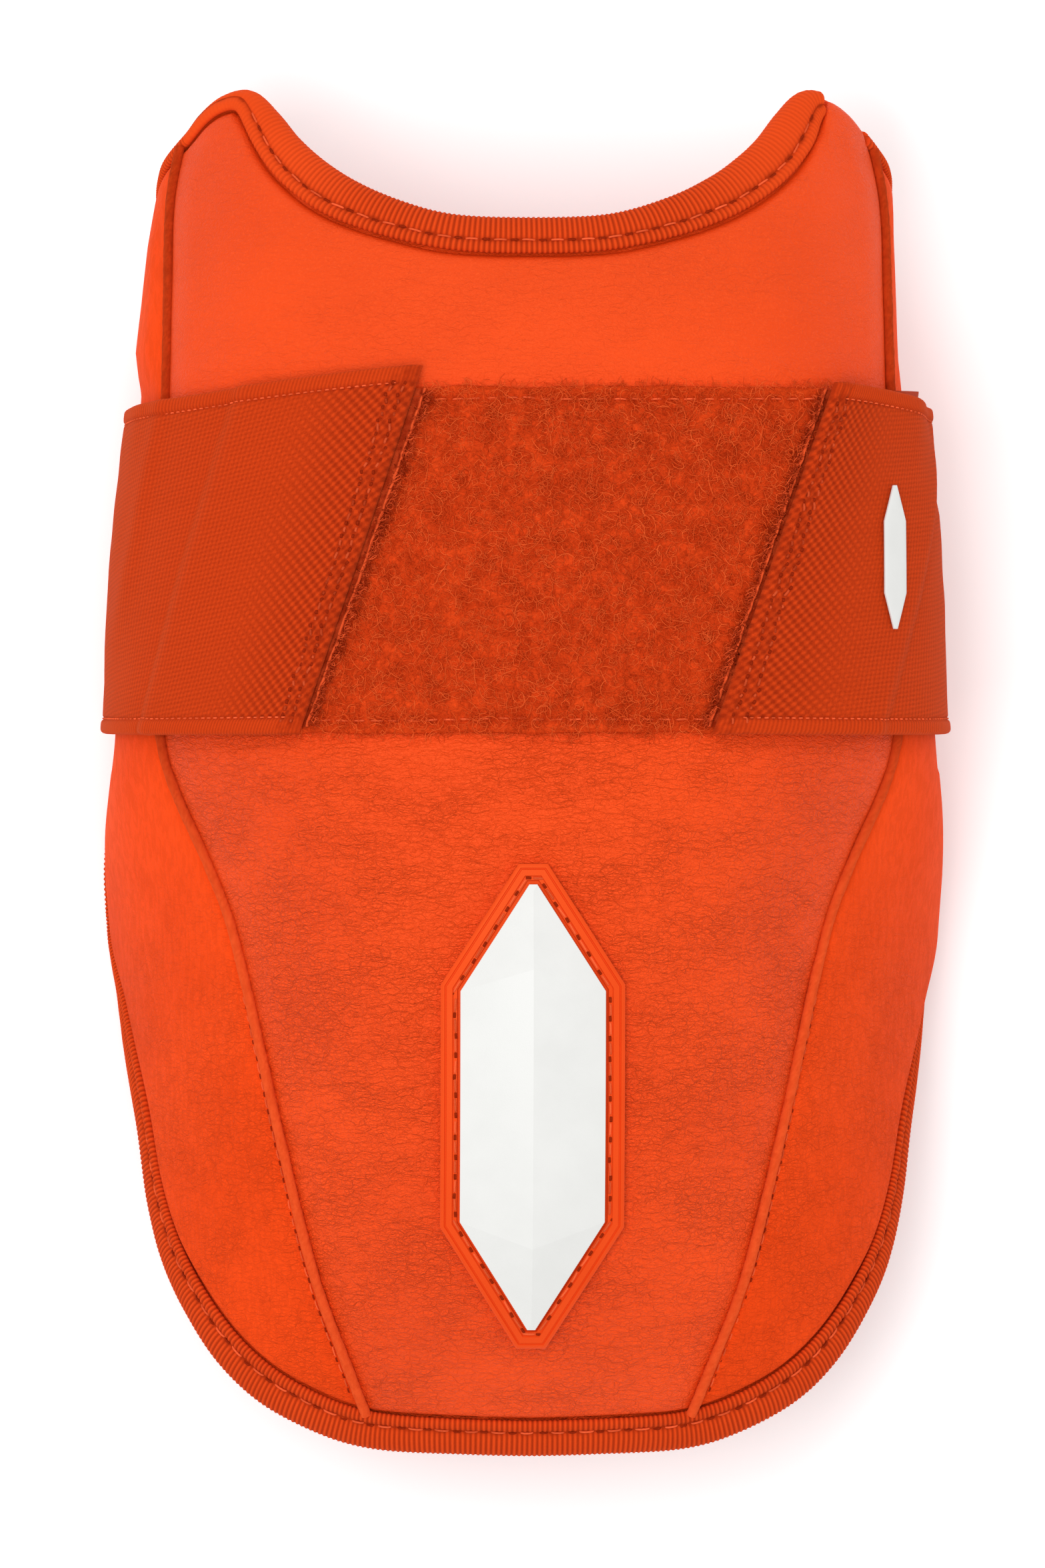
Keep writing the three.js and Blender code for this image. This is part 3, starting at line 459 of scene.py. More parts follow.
# %% [markdown]
# ## Materials
#
# A finish is a Principled shader fed by a few texture nodes. The small class below only shortens the writing:
# `add` makes a node and joins its inputs, and the functions after it are the few mixes that every finish
# needs. Object coordinates are metres, so they are scaled to millimetres first, and a grain of half a
# millimetre then has a scale of 2. The whole guard is dyed through, so its sheen is tinted too. `LIT` is how
# bright a white card would be under these lights.

# %% Node helpers
LIT = 1.06
DYED_SHEEN = (1.0, 0.36, 0.12, 1.0)
PLAIN_SHEEN = (1.0, 1.0, 1.0, 1.0)


class Finish:
    def __init__(self, name, roughness, specular=0.5, sheen=DYED_SHEEN, nap=0.0):
        self.material = bpy.data.materials.new(name)
        self.material.use_nodes = True
        self.tree = self.material.node_tree
        self.shader = self.tree.nodes["Principled BSDF"]
        self.shader.inputs["Roughness"].default_value = roughness
        self.shader.inputs["Specular IOR Level"].default_value = specular
        self.shader.inputs["Specular Tint"].default_value = sheen
        self.shader.inputs["Sheen Weight"].default_value = nap
        self.shader.inputs["Sheen Tint"].default_value = sheen

    def add(self, kind, inputs, **settings):
        node = self.tree.nodes.new("ShaderNode" + kind)
        for key, value in settings.items():
            setattr(node, key, value)
        for key, value in inputs.items():
            if isinstance(value, bpy.types.NodeSocket):
                self.tree.links.new(value, node.inputs[key])
            else:
                node.inputs[key].default_value = value
        return node

    def place(self, scale=(1, 1, 1), turn=0.0):
        """Object coordinates in millimetres, stretched and turned about the upright axis."""
        found = self.add("TexCoord", {}).outputs["Object"]
        scale = tuple(1000 * part for part in scale)
        return self.add("Mapping", {"Vector": found, "Scale": scale, "Rotation": (0, 0, turn)}).outputs[0]

    def lay(self, scale=(1, 1, 1), turn=0.0):
        """The piece's own millimetres along and across."""
        found = self.add("UVMap", {}, uv_map="lay").outputs["UV"]
        return self.add("Mapping", {"Vector": found, "Scale": scale, "Rotation": (0, 0, turn)}).outputs[0]

    def tone(self):
        return self.add("Attribute", {}, attribute_name="tone").outputs["Fac"]

    def noise(self, where, scale, detail=3.0, rough=0.55, twist=0.0):
        inputs = {"Vector": where, "Scale": scale, "Detail": detail, "Roughness": rough, "Distortion": twist}
        return self.add("TexNoise", inputs).outputs["Fac"]

    def cells(self, where, scale, feature="F1"):
        inputs = {"Vector": where, "Scale": scale}
        return self.add("TexVoronoi", inputs, feature=feature).outputs["Distance"]

    def maths(self, operation, a, b=0.0, clamp=False):
        return self.add("Math", {0: a, 1: b}, operation=operation, use_clamp=clamp).outputs[0]

    def times(self, a, b):
        return self.maths("MULTIPLY", a, b)

    def plus(self, a, b):
        return self.maths("ADD", a, b)

    def along_guard(self):
        """Millimetres along the guard, from its middle towards the neckline."""
        return self.add("SeparateXYZ", {"Vector": self.place()}).outputs["Y"]

    def spread(self, value, low, high, to_low=0.0, to_high=1.0):
        inputs = {"Value": value, "From Min": low, "From Max": high, "To Min": to_low, "To Max": to_high}
        return self.add("MapRange", inputs, interpolation_type="SMOOTHSTEP").outputs[0]

    def between(self, share, low, high):
        """A mix of two colours, each given as a value or as a socket."""
        return self.add("Mix", {0: share, 6: low, 7: high}, data_type="RGBA").outputs[2]

    def relief(self, height, deep, strength=1.0, after=None):
        inputs = {"Height": height, "Distance": deep * MM, "Strength": strength}
        if after is not None:
            inputs["Normal"] = after
        return self.add("Bump", inputs).outputs[0]

    def wear(self, colour=None, roughness=None, normal=None):
        for key, value in (("Base Color", colour), ("Roughness", roughness), ("Normal", normal)):
            if value is not None:
                self.tree.links.new(value, self.shader.inputs[key])
        return self.material


def paint(red, green, blue):
    """A colour from 0 to 255, as it shows under this studio's light, in the form that a shader needs."""
    parts = [part / 255 for part in (red, green, blue)]
    parts = [part / 12.92 if part < 0.04045 else ((part + 0.055) / 1.055) ** 2.4 for part in parts]
    return tuple(part / LIT for part in parts) + (1,)


# %% [markdown]
# ### Leather
#
# The front pad's leather has pores about half a millimetre apart, and short creases that run across the arm,
# strongest on the forearm half where the foam is squeezed. The side pads are of a thinner stretch leather with
# a fine upright grain. Both get a slow change of colour, so that no stretch is flat.

# %% Leather finishes
# Cells to a millimetre in x, y and z, width of the crack between two cells, and its share
CRACKS = (((0.2, 0.62, 0.4), 0.07, 1.0), ((0.5, 1.3, 0.9), 0.1, 0.75), ((1.3, 2.4, 2.0), 0.16, 0.45))
CREASE_SHADE = paint(176, 44, 10)


def creases(f, strong, turn):
    """Fine cracks in three sizes, from 0 to 1, that run across the arm."""
    bent = f.add("TexNoise", {"Vector": f.place(), "Scale": 0.4, "Detail": 3.0}).outputs["Color"]
    swirl = f.add("VectorMath", {0: bent, 1: (1.5, 1.5, 1.2)}, operation="MULTIPLY").outputs[0]
    cracks = None
    for scale, width, share in CRACKS:
        where = f.add("VectorMath", {0: f.place(scale, turn), 1: swirl}, operation="ADD").outputs[0]
        crack = f.spread(f.cells(where, 1.0, "DISTANCE_TO_EDGE"), 0.0, width, share, 0)
        cracks = crack if cracks is None else f.maths("MAXIMUM", cracks, crack)
    patches = f.spread(f.noise(f.place((0.06, 0.1, 0.1)), 1.0, 3), 0.3, 0.65, 0.55, 1)
    return f.times(cracks, f.times(patches, strong))


def front_leather():
    f = Finish("front_leather", 0.48, 0.34, (1.0, 0.55, 0.3, 1.0))
    grain = f.noise(f.place(), 2.2, 4, 0.65)
    upper = f.along_guard()
    cracks = creases(f, f.spread(upper, 75, -30, 0.3, 1), 0.05)
    slow = f.noise(f.place(), 0.03, 2)
    colour = f.between(f.spread(slow, 0.3, 0.7), paint(238, 70, 18), paint(247, 75, 20))
    # Painted shade: the leather darkens towards the neckline.
    colour = f.between(f.spread(upper, 55, 90, 0, 0.2), colour, paint(206, 60, 14))
    # Painted shade: the creases are darkened in the colour as well as pressed into the bump.
    colour = f.between(f.times(cracks, 0.23), colour, CREASE_SHADE)
    colour = f.between(f.times(f.spread(grain, 0.5, 0.7), 0.34), colour, paint(255, 92, 38))
    normal = f.relief(grain, 0.16, 0.8)
    normal = f.relief(f.maths("SUBTRACT", 1.0, cracks), 0.22, 0.9, normal)
    return f.wear(colour, f.spread(grain, 0.3, 0.7, 0.4, 0.56), normal)


def side_leather():
    f = Finish("side_leather", 0.75, 0.04, nap=0.06)
    upright = f.noise(f.place((1.5, 0.3, 0.5), 0.25), 1.0, 4, 0.6, 0.6)
    pores = f.cells(f.place((1, 0.8, 1)), 2.8)
    upper = f.along_guard()
    cracks = creases(f, f.spread(upper, 0, -50, 0.05, 0.9), 0.3)
    slow = f.noise(f.place(), 0.035, 2)
    colour = f.between(f.spread(slow, 0.3, 0.7), paint(242, 72, 20), paint(250, 77, 24))
    colour = f.between(f.spread(upright, 0.6, 0.4, 0, 0.2), colour, paint(196, 56, 18))
    # Painted shade: the creases are darkened in the colour as well as pressed into the bump.
    colour = f.between(f.times(cracks, 0.27), colour, paint(176, 44, 12))
    normal = f.relief(upright, 0.1, 0.6)
    normal = f.relief(pores, 0.1, 0.6, normal)
    normal = f.relief(f.maths("SUBTRACT", 1.0, cracks), 0.2, 0.8, normal)
    return f.wear(colour, f.spread(upright, 0.3, 0.7, 0.8, 0.7), normal)


leather, stretch_leather = front_leather(), side_leather()

# %% [markdown]
# ### Tape, elastic, loops and thread
#
# The ribs of the tape and the knots of the elastic near its cut ends are real shapes in the meshes, and the
# number kept on each point tells the material where their valleys are, which it paints with shade. The finer
# threads inside a rib, and the twill where the elastic is stretched, are drawn from the `lay` map, and the
# twill's hollows are painted darker as shade too.

# %% Woven finishes
TWILL_TURN = math.radians(42)
TWILL_ROW, TWILL_KNOT = 1.25, 1.05
# Width of the band on its own map, and the spacing of the ridges on its rolled hems
BAND, HEM_RIDGE = 60, 0.62


def ribbed_tape():
    f = Finish("ribbed_tape", 0.85, 0.03, nap=0.05)
    threads = f.noise(f.lay((5, 1.4, 1)), 1.0, 3, 0.7)
    slow = f.noise(f.place(), 0.06, 2)
    # Painted shade: the valleys between ribs, the stitched valley and the lip's edge get the dark colour.
    crest = f.maths("ADD", f.times(f.tone(), 0.9), f.times(threads, 0.25), True)
    light = f.between(slow, paint(228, 72, 24), paint(240, 80, 30))
    colour = f.between(crest, paint(150, 40, 12), light)
    return f.wear(colour, None, f.relief(threads, 0.1, 0.7))


def twill_elastic():
    f = Finish("twill_elastic", 0.8, 0.03, nap=0.13)
    u, v = (f.add("SeparateXYZ", {"Vector": f.lay()}).outputs[key] for key in "XY")
    turned = f.add("SeparateXYZ", {"Vector": f.lay((1, 1, 1), -TWILL_TURN)}).outputs
    rows = f.maths("COSINE", f.times(turned["Y"], math.tau / TWILL_ROW))
    knots = f.maths("COSINE", f.times(turned["X"], math.tau / TWILL_KNOT))
    threads = f.noise(f.lay((1.6, 1, 1)), 2.6, 4, 0.75)
    rough = f.times(f.maths("SUBTRACT", threads, 0.5), 1.5)
    weave = f.plus(f.times(rows, 0.2), f.times(knots, 0.2))
    coarse = f.plus(f.spread(weave, -0.5, 0.5), rough)
    dots = f.plus(f.times(f.times(rows, knots), 0.26), 0.6)
    opened = f.add("Attribute", {}, attribute_name="opened").outputs["Fac"]
    raised = f.add("Mix", {0: opened, 2: f.plus(dots, rough), 3: coarse}).outputs[0]
    hem = f.spread(f.maths("ABSOLUTE", f.maths("SUBTRACT", v, BAND / 2)), BAND / 2 - 3, BAND / 2 - 2.7)
    ridges = f.times(f.maths("COSINE", f.times(u, math.tau / HEM_RIDGE)), 0.22)
    ridges = f.plus(f.plus(ridges, 0.62), f.times(rough, 0.6))
    raised = f.add("Mix", {0: hem, 2: raised, 3: ridges}).outputs[0]
    slow = f.noise(f.lay((0.03, 0.3, 1)), 1.0, 2)
    light = f.between(slow, paint(212, 65, 20), paint(223, 70, 23))
    # Painted shade: the weave's hollows and the sewn lines get the dark colour.
    shade = f.maths("MULTIPLY", raised, f.plus(f.times(f.tone(), 0.7), 0.3), True)
    colour = f.between(shade, paint(158, 42, 13), light)
    return f.wear(colour, None, f.relief(raised, 0.14, 0.7))


def loop_ground():
    f = Finish("loop_ground", 0.9, 0.02)
    tangle = f.noise(f.place(), 1.1, 6, 0.75, 1.6)
    clumps = f.noise(f.place(), 0.32, 3, 0.6, 0.6)
    both = f.plus(f.times(tangle, 0.72), f.times(clumps, 0.3))
    colour = f.between(f.spread(both, 0.34, 0.66), paint(180, 51, 16), paint(240, 78, 28))
    return f.wear(colour, None, f.relief(both, 0.5, 0.8))


def yarn(name, dark, light, roughness=0.7):
    """Thread, fibre and fuzz: the number at each point picks each strand's shade, and the darkest colour is
    also painted as shade where a needle went through.
    """
    f = Finish(name, roughness, 0.05)
    strands = f.noise(f.place(), 4.0, 2)
    share = f.maths("ADD", f.tone(), f.times(f.maths("SUBTRACT", strands, 0.5), 0.4), True)
    return f.wear(f.between(share, dark, light), None, f.relief(strands, 0.05, 0.5))


tape, elastic, ground = ribbed_tape(), twill_elastic(), loop_ground()
thread = yarn("sewing_thread", paint(140, 36, 11), paint(252, 104, 58))
fuzz = yarn("loop_fuzz", paint(214, 64, 20), paint(255, 110, 52))
hooks = yarn("hook_tape", paint(150, 38, 12), paint(246, 96, 48), 0.5)

# %% [markdown]
# ### Badge and print
#
# The badge is moulded soft rubber of the leather's colour with a hard white plate in it. Both keep a trace of
# the mould: a very fine matt texture and a slow change of gloss.

# %% Moulded finishes
def moulded(name, dark, light, roughness, texture, sheen):
    f = Finish(name, roughness, 0.45, sheen)
    slow = f.noise(f.place(), 0.12, 3)
    matt = f.noise(f.place(), 5.0, 3, 0.6)
    rough = f.spread(slow, 0.3, 0.7, roughness - 0.06, roughness + 0.06)
    return f.wear(f.between(slow, dark, light), rough, f.relief(matt, texture, 0.5))


rubber = moulded("moulded_rubber", paint(226, 68, 20), paint(236, 74, 24), 0.48, 0.05, DYED_SHEEN)
white = moulded("white_plate", paint(222, 222, 219), paint(231, 231, 228), 0.42, 0.03, PLAIN_SHEEN)
print(len(bpy.data.materials), "materials")

# %% [markdown]
# ## The pads
#
# The front pad is the largest piece: foam under leather, about 10 mm thick, thinned to 4 mm where the tape
# folds over it. The leather dives under the tape's lip, swells again within a few millimetres, and rolls down
# at the two seams. Its grid runs from the neckline to the foot, with extra rows where it dives, so that the
# line along the tape stays clean. The stretch over the foam is uneven in a real pad, so soft noise moves the
# surface by tenths of a millimetre, and the sewing puckers it along the lower seams.

# %% How a pad's two faces lie
COVER = 7.3
# How far the tape reaches over the pad, by the number of the edge's knot, on the right and on the left
COVERS = np.array([
    (0, 5.7, 5.7), (1.5, 5.8, 5.8), (3.5, 7.0, 6.9), (4.8, 7.2, 6.2), (5.5, 6.7, 5.1), (6, 6.1, 4.4),
    (6.5, 5.2, 3.5), (7, 4.6, 3.0), (7.5, 4.2, 2.7), (8, 3.6, 2.4), (9, 2.5, 2.2), (12, 2.5, 2.5),
    (18, 5, 5), (24, COVER, COVER), (36, COVER, COVER),
], dtype=[("knot", float), ("right", float), ("left", float)])
TAPE_END = 7.6
LIP_GAP, CROWNED, ROLL, SEAM_SINK = 0.2, 2.3, 2.6, 0.9
FRONT_PAD, SIDE_PAD, THICKEN = 10, 6, 22
SEAM_GAP = 0.2
LOOP_FOOT, LOOP_WIDE, LOOP_INSET = 6.8, 59, 4
STRAP_FOOT, STRAP_WIDE = 6.6, 55.5
FLARE = {-1: 7.2, 1: 4.4}
END_MIDDLE = {-1: -28.5, 1: 40}
END_SLANT = 20.4
PUCKER, PUCKER_DEEP = 3.6, 0.3

knot_reach = reach_along(place(*edge_line.T))[::PER_KNOT]
even_reach = np.arange(0, edge_length / 2 + 8)
covers_reach = np.interp(COVERS["knot"], np.arange(len(knot_reach)), knot_reach)
even_cover = {key: np.convolve(np.pad(np.interp(even_reach, covers_reach, COVERS[key]), 3, "edge"),
                               np.full(7, 1 / 7), "valid") for key in ("right", "left")}
bare_from, bare_to = np.interp([TAPE_END, SEAM_HEAD], np.arange(len(knot_reach)), knot_reach)


def cover_at(along):
    """How far the tape reaches over the pad, at a distance round the edge from the middle of the neckline."""
    return np.where(along < edge_length / 2, np.interp(along, even_reach, even_cover["right"]),
                    np.interp(edge_length - along, even_reach, even_cover["left"]))


def past_lip(s, y):
    """How far each spot lies inside the lip of the tape, less than 0 under it. On the right there is no tape
    between the square cut at the horn and the seam."""
    far, along = distance_to(edge_coarse, s, y)
    bare = ease(along, bare_from, bare_from + 1.5) * (1 - ease(along, bare_to - 1.5, bare_to))
    return far - (cover_at(along) + LIP_GAP) * (1 - bare)


def seam_distance(s, y):
    right_far, right_along = distance_to(seam_coarse[1], s, y)
    left_far, left_along = distance_to(seam_coarse[-1], s, y)
    return np.minimum(right_far, left_far), np.where(right_far < left_far, right_along, left_along)


# Where the tight strap squeezes the flanks, and where they bulge: y and how deep, for each side
SQUEEZE = {
    1: np.array([(-100, 0), (-76, -0.9), (-50, -1.3), (-18, -1.0), (0, -0.3), (10, 0), (44, 0), (53.6, 1.2),
                 (62, 2.2), (66, 2.3), (71, 2.3), (79, 1.7), (90, 1.0), (98, 0.3), (104, 0)]),
    -1: np.array([(38, 0), (46, 0.3), (54, 0.5), (61, 0.9), (65, 0.8), (68, 0), (72, -0.8), (80, -0.6),
                  (90, -0.6), (100, 0)]),
}


def squeezed(s, y):
    """How far the strap presses the flank in, less than 0 where the flank bulges."""
    s, y = np.broadcast_arrays(s, y)
    from_seam = np.interp(y, GRID_Y, seam_at) - 2
    flank = ease(np.abs(s), from_seam, np.maximum(from_seam + 5, np.interp(y, GRID_Y, widest_at) - 10))
    return flank * np.where(s > 0, np.interp(y, *SQUEEZE[1].T), np.interp(y, *SQUEEZE[-1].T))


def pad_faces(s, y, thick, fullness, swell):
    """Outer and inner face of a pad."""
    past = past_lip(s, y)
    seam, along = seam_distance(s, y)
    rise = np.where(past < 0.05, 0, (1 - (1 - np.clip(past / CROWNED, 0, 1)) ** 3) * fullness)
    sink = np.maximum(TUCK * (1 - rise), SEAM_SINK * (1 - np.clip(seam / ROLL, 0, 1)) ** 2)
    lift = swell * np.exp(-((seam - 5) / 3.5) ** 2) * ease(past, 0, 8) - sink
    lift += 0.16 * soft_noise(s / 17, y / 13, 3) * ease(past, 0, 12)
    crimp = np.abs(np.sin(np.pi * along / PUCKER + soft_noise(along / 9, 0 * along, 5)))
    lift -= (PUCKER_DEEP * (1 - crimp) ** 2 * np.exp(-seam / 3.2)
             * ease(-y, 22, 40) * (seam > 0.5) * ease(past, 0, 3))
    low, high = y - LOOP_FOOT, LOOP_FOOT + LOOP_WIDE - y
    lift += 0.35 * np.exp(-((np.minimum(low, high) + 3) / 3.0) ** 2) * ease(seam, 2, 14) * (thick > 8)
    inward = np.minimum(ease(past, 0.8, THICKEN), ease(seam, 0, THICKEN))
    deep = EDGE_DEEP + (thick - EDGE_DEEP) * inward
    lift -= squeezed(s, y)
    return place(s, y, lift), place(s, y, -deep)


# %% Front pad
COARSE = 4
# Distances past the lip, and from the seam, at which the grid has a row of its own
DIVE = np.array([-0.05, 0.05, 0.22, 0.45, 0.75, 1.15, 1.65, 2.3])
SEAM_ROWS = np.array([0, 0.25, 0.55, 0.9, 1.3, 1.8, 2.4])


def shares_down(past, count):
    """Rows for one column, as shares of it: even under the tape, close together past both lips, then even."""
    v = np.linspace(0, 1, len(past))
    middle = len(past) // 2
    head = np.interp(DIVE, np.maximum.accumulate(past[:middle]), v[:middle])
    tail = 1 - np.interp(DIVE, np.maximum.accumulate(past[::-1][:middle]), v[:middle])[::-1]
    return np.r_[np.linspace(0, head[0], 6)[:-1], head, np.linspace(head[-1], tail[0], count)[1:-1], tail,
                 np.linspace(tail[-1], 1, 6)[1:]]


def front_grid(columns, rows):
    """s and y of a grid between the neckline, the foot and the two seams, blended from these four lines."""
    top = on_edge(-SEAM_HEAD, SEAM_HEAD)
    foot = on_edge(SEAM_FOOT, len(edge_knots) - SEAM_FOOT)[::-1]
    close = SEAM_ROWS / 125
    between = np.linspace(close[-1] + 0.006, 1 - close[-1] - 0.006, columns - 2 * len(close))
    u = np.r_[close, between, 1 - close[::-1]]
    v = np.linspace(0, 1, 420)

    def along(line, share):
        even, at = evenly(line, 0.5)
        return spots_on(even, at / at[-1], share)

    left, right = along(seam_line[-1], v)[None], along(seam_line[1], v)[None]
    top, foot = along(top, u)[:, None], along(foot, u)[:, None]
    across, down = u[:, None, None], v[None, :, None]
    spots = (1 - across) * left + across * right + (1 - down) * top + down * foot
    for corner, weight in ((top[0, 0], (1 - across) * (1 - down)), (top[-1, 0], across * (1 - down)),
                           (foot[0, 0], (1 - across) * down), (foot[-1, 0], across * down)):
        spots = spots - weight * corner
    spots[0, :, 0] += SEAM_GAP / 2
    spots[-1, :, 0] -= SEAM_GAP / 2
    past = past_lip(spots[..., 0], spots[..., 1])
    grid = []
    for line, inside in zip(spots, past):
        grid.append(spots_on(line, v, shares_down(inside, rows)))
    return np.array(grid)


grid = front_grid(141, 191)
grid = grid[:, :(grid.shape[1] - 1) // COARSE * COARSE + 1]
s, y = grid[..., 0], grid[..., 1]
outer, inner = pad_faces(s, y, FRONT_PAD, 1.0, 0.35)
points, faces = closed_sheet(outer, inner[::COARSE, ::COARSE], COARSE)
front_pad = new_piece("front_pad", points, faces)
finished(front_pad, leather, "leather", "front_panel")


# %% Side pads
def side_grid(side, rows, columns):
    """Rows run from the edge to the seam, one after the other from the seam's head to its foot. The second
    result is how full the pad is at each row."""
    share = np.linspace(0.012, 0.988, rows)
    lines = [evenly(line, 0.5)[0] for line in (on_edge(SEAM_HEAD, SEAM_FOOT), seam_line[1])]
    edge, seam = (spots_on(line, np.linspace(0, 1, len(line)), share) for line in lines)
    seam[:, 0] += SEAM_GAP / 2
    v = np.linspace(0, 1, 300)
    down = v[None, :, None]
    spots = (edge[:, None] * (1 - down) + seam[:, None] * down) * [side, 1]
    past = past_lip(spots[..., 0], spots[..., 1])
    grid = []
    for line, inside in zip(spots, past):
        marks = np.interp(DIVE, np.maximum.accumulate(inside), v)
        marks = np.minimum(marks, 1 - 0.006 * np.arange(len(DIVE) + 8, 8, -1))
        near = 1 - SEAM_ROWS[::-1] / 60 * min(1, (1 - marks[-1]) * 4)
        under, flat = np.linspace(0, marks[0], 6)[:-1], np.linspace(marks[-1], near[0], columns)[1:-1]
        grid.append(spots_on(line, v, np.r_[under, marks, flat, near]))
    return np.array(grid), ease(past.max(1), 0, 1.2)[:, None]


for side, name in SIDES:
    grid, fullness = side_grid(side, 241, 39)
    s, y = grid[..., 0], grid[..., 1]
    outer, inner = pad_faces(s, y, SIDE_PAD, fullness, 0.1)
    points, faces = closed_sheet(outer, inner[::COARSE, ::COARSE], COARSE)
    side_pad = new_piece("side_pad_" + name, points, faces)
    finished(side_pad, stretch_leather, "side_leather", "side_panel_" + name)

# %% [markdown]
# ## Ribbed tape round the edge
#
# The tape is folded over the pad's edge and sewn through close to its lip. Its section is drawn once, from
# the lip over the fold to the hidden lip underneath, and swept along the edge with four steps to each rib.
# Every rib is raised in the mesh. The sewing pulls a valley into the tape, and the narrow strip between the
# valley and the leather stands up like a cord. Towards the horns the tape covers less of the pad.

# %% Tape section
RIB = 0.87
# Distance in from the edge (less than 0 is beyond it), height over the skin, and how much a rib shows there
TAPE_SECTION = np.array([
    (7.10, -1.15, 0.0), (7.34, -0.78, 0.3), (7.36, -0.35, 0.8), (7.12, 0.05, 1.0), (6.62, 0.26, 1.0),
    (6.02, 0.20, 1.0), (5.55, -0.02, 0.8), (5.22, -0.32, 0.3), (4.98, -0.40, 0.1), (4.72, -0.24, 0.3),
    (4.35, 0.04, 0.6), (3.80, 0.22, 0.8), (3.05, 0.28, 0.8), (2.20, 0.24, 0.8), (1.35, 0.10, 0.8),
    (0.50, -0.16, 0.8), (-0.30, -0.60, 0.8), (-0.98, -1.22, 0.8), (-1.42, -2.05, 0.8), (-1.64, -3.05, 0.8),
    (-1.64, -4.35, 0.8), (-1.45, -5.60, 0.8), (-0.98, -6.60, 0.8), (-0.20, -7.22, 0.6), (0.90, -7.44, 0.5),
    (2.60, -7.46, 0.5), (4.60, -7.46, 0.5), (6.60, -7.46, 0.4), (7.30, -7.05, 0.0),
], dtype=[("inward", float), ("lift", float), ("rib", float)])
HIDDEN_LIP = -1.2
TAPE_BACK = np.array([(7.0, HIDDEN_LIP), (4.0, HIDDEN_LIP), (0.6, HIDDEN_LIP), (-0.4, -1.8), (-0.45, -4.0),
                      (-0.2, -6.0), (3.5, -6.28), (7.0, -6.35)])
WALK = np.arange(0, 8.01, 0.5)
VALLEY, VALLEY_COLUMN = 4.98, 8
STITCH = 4.9
RIB_HIGH, RIB_SWAY = 0.14, 0.22


def edge_frames(line):
    """Where the edge is, its direction, the skin's normal and the way in over the skin, for each spot."""
    at = place(*line.T)
    forward = unit(np.gradient(at, axis=0))
    normal = skin_up(*line.T)
    return at, normal, unit(np.cross(forward, normal))


def sweep_section(line, inward, lift, push=None):
    """Points of a section, carried along a line on the skin. Each walk inward is averaged with its
    neighbours, so that the section doesn't fold over itself where the edge turns sharply."""
    at, normal, inside = edge_frames(line)
    s, y = line.T
    over = [np.stack([s, y], -1)]
    for _ in WALK[1:]:
        s, y = walk(s, y, inside, np.full(len(s), WALK[1]))
        over.append(np.stack([s, y], -1))
    gap = np.linalg.norm(at[1] - at[0])
    for reach, spots in zip(WALK[1:], over[1:]):
        half = round(reach / gap)
        before, after = 2 * spots[:1] - spots[half:0:-1], 2 * spots[-1:] - spots[-2:-2 - half:-1]
        mean = np.full(2 * half + 1, 1 / (2 * half + 1))
        padded = np.vstack([before, spots, after])
        spots[:] = np.column_stack([np.convolve(column, mean, "valid") for column in padded.T])
    over = np.array(over)
    points = []
    for k in range(inward.shape[1]):
        reach = inward[:, k] if push is None else inward[:, k] + push[0][:, k]
        height = lift[:, k] if push is None else lift[:, k] + push[1][:, k]
        cell = np.clip(reach / WALK[1], 0, len(WALK) - 1.001)
        low, share = cell.astype(int), (cell % 1)[:, None]
        each = np.arange(len(line))
        spot = over[low, each] * (1 - share) + over[low + 1, each] * share
        outside = at + np.minimum(reach, 0)[:, None] * inside + normal * height[:, None]
        points.append(np.where(reach[:, None] > 0, place(*spot.T, height), outside))
    return np.stack(points, 1)


def ribs(along, offset):
    """Crests and valleys across the tape, never quite even."""
    sway = RIB_SWAY * soft_noise(along / 11, offset + 0 * along, 7)
    return np.cos(2 * np.pi * (along / RIB + sway))


head_reach = knot_reach[SEAM_HEAD]


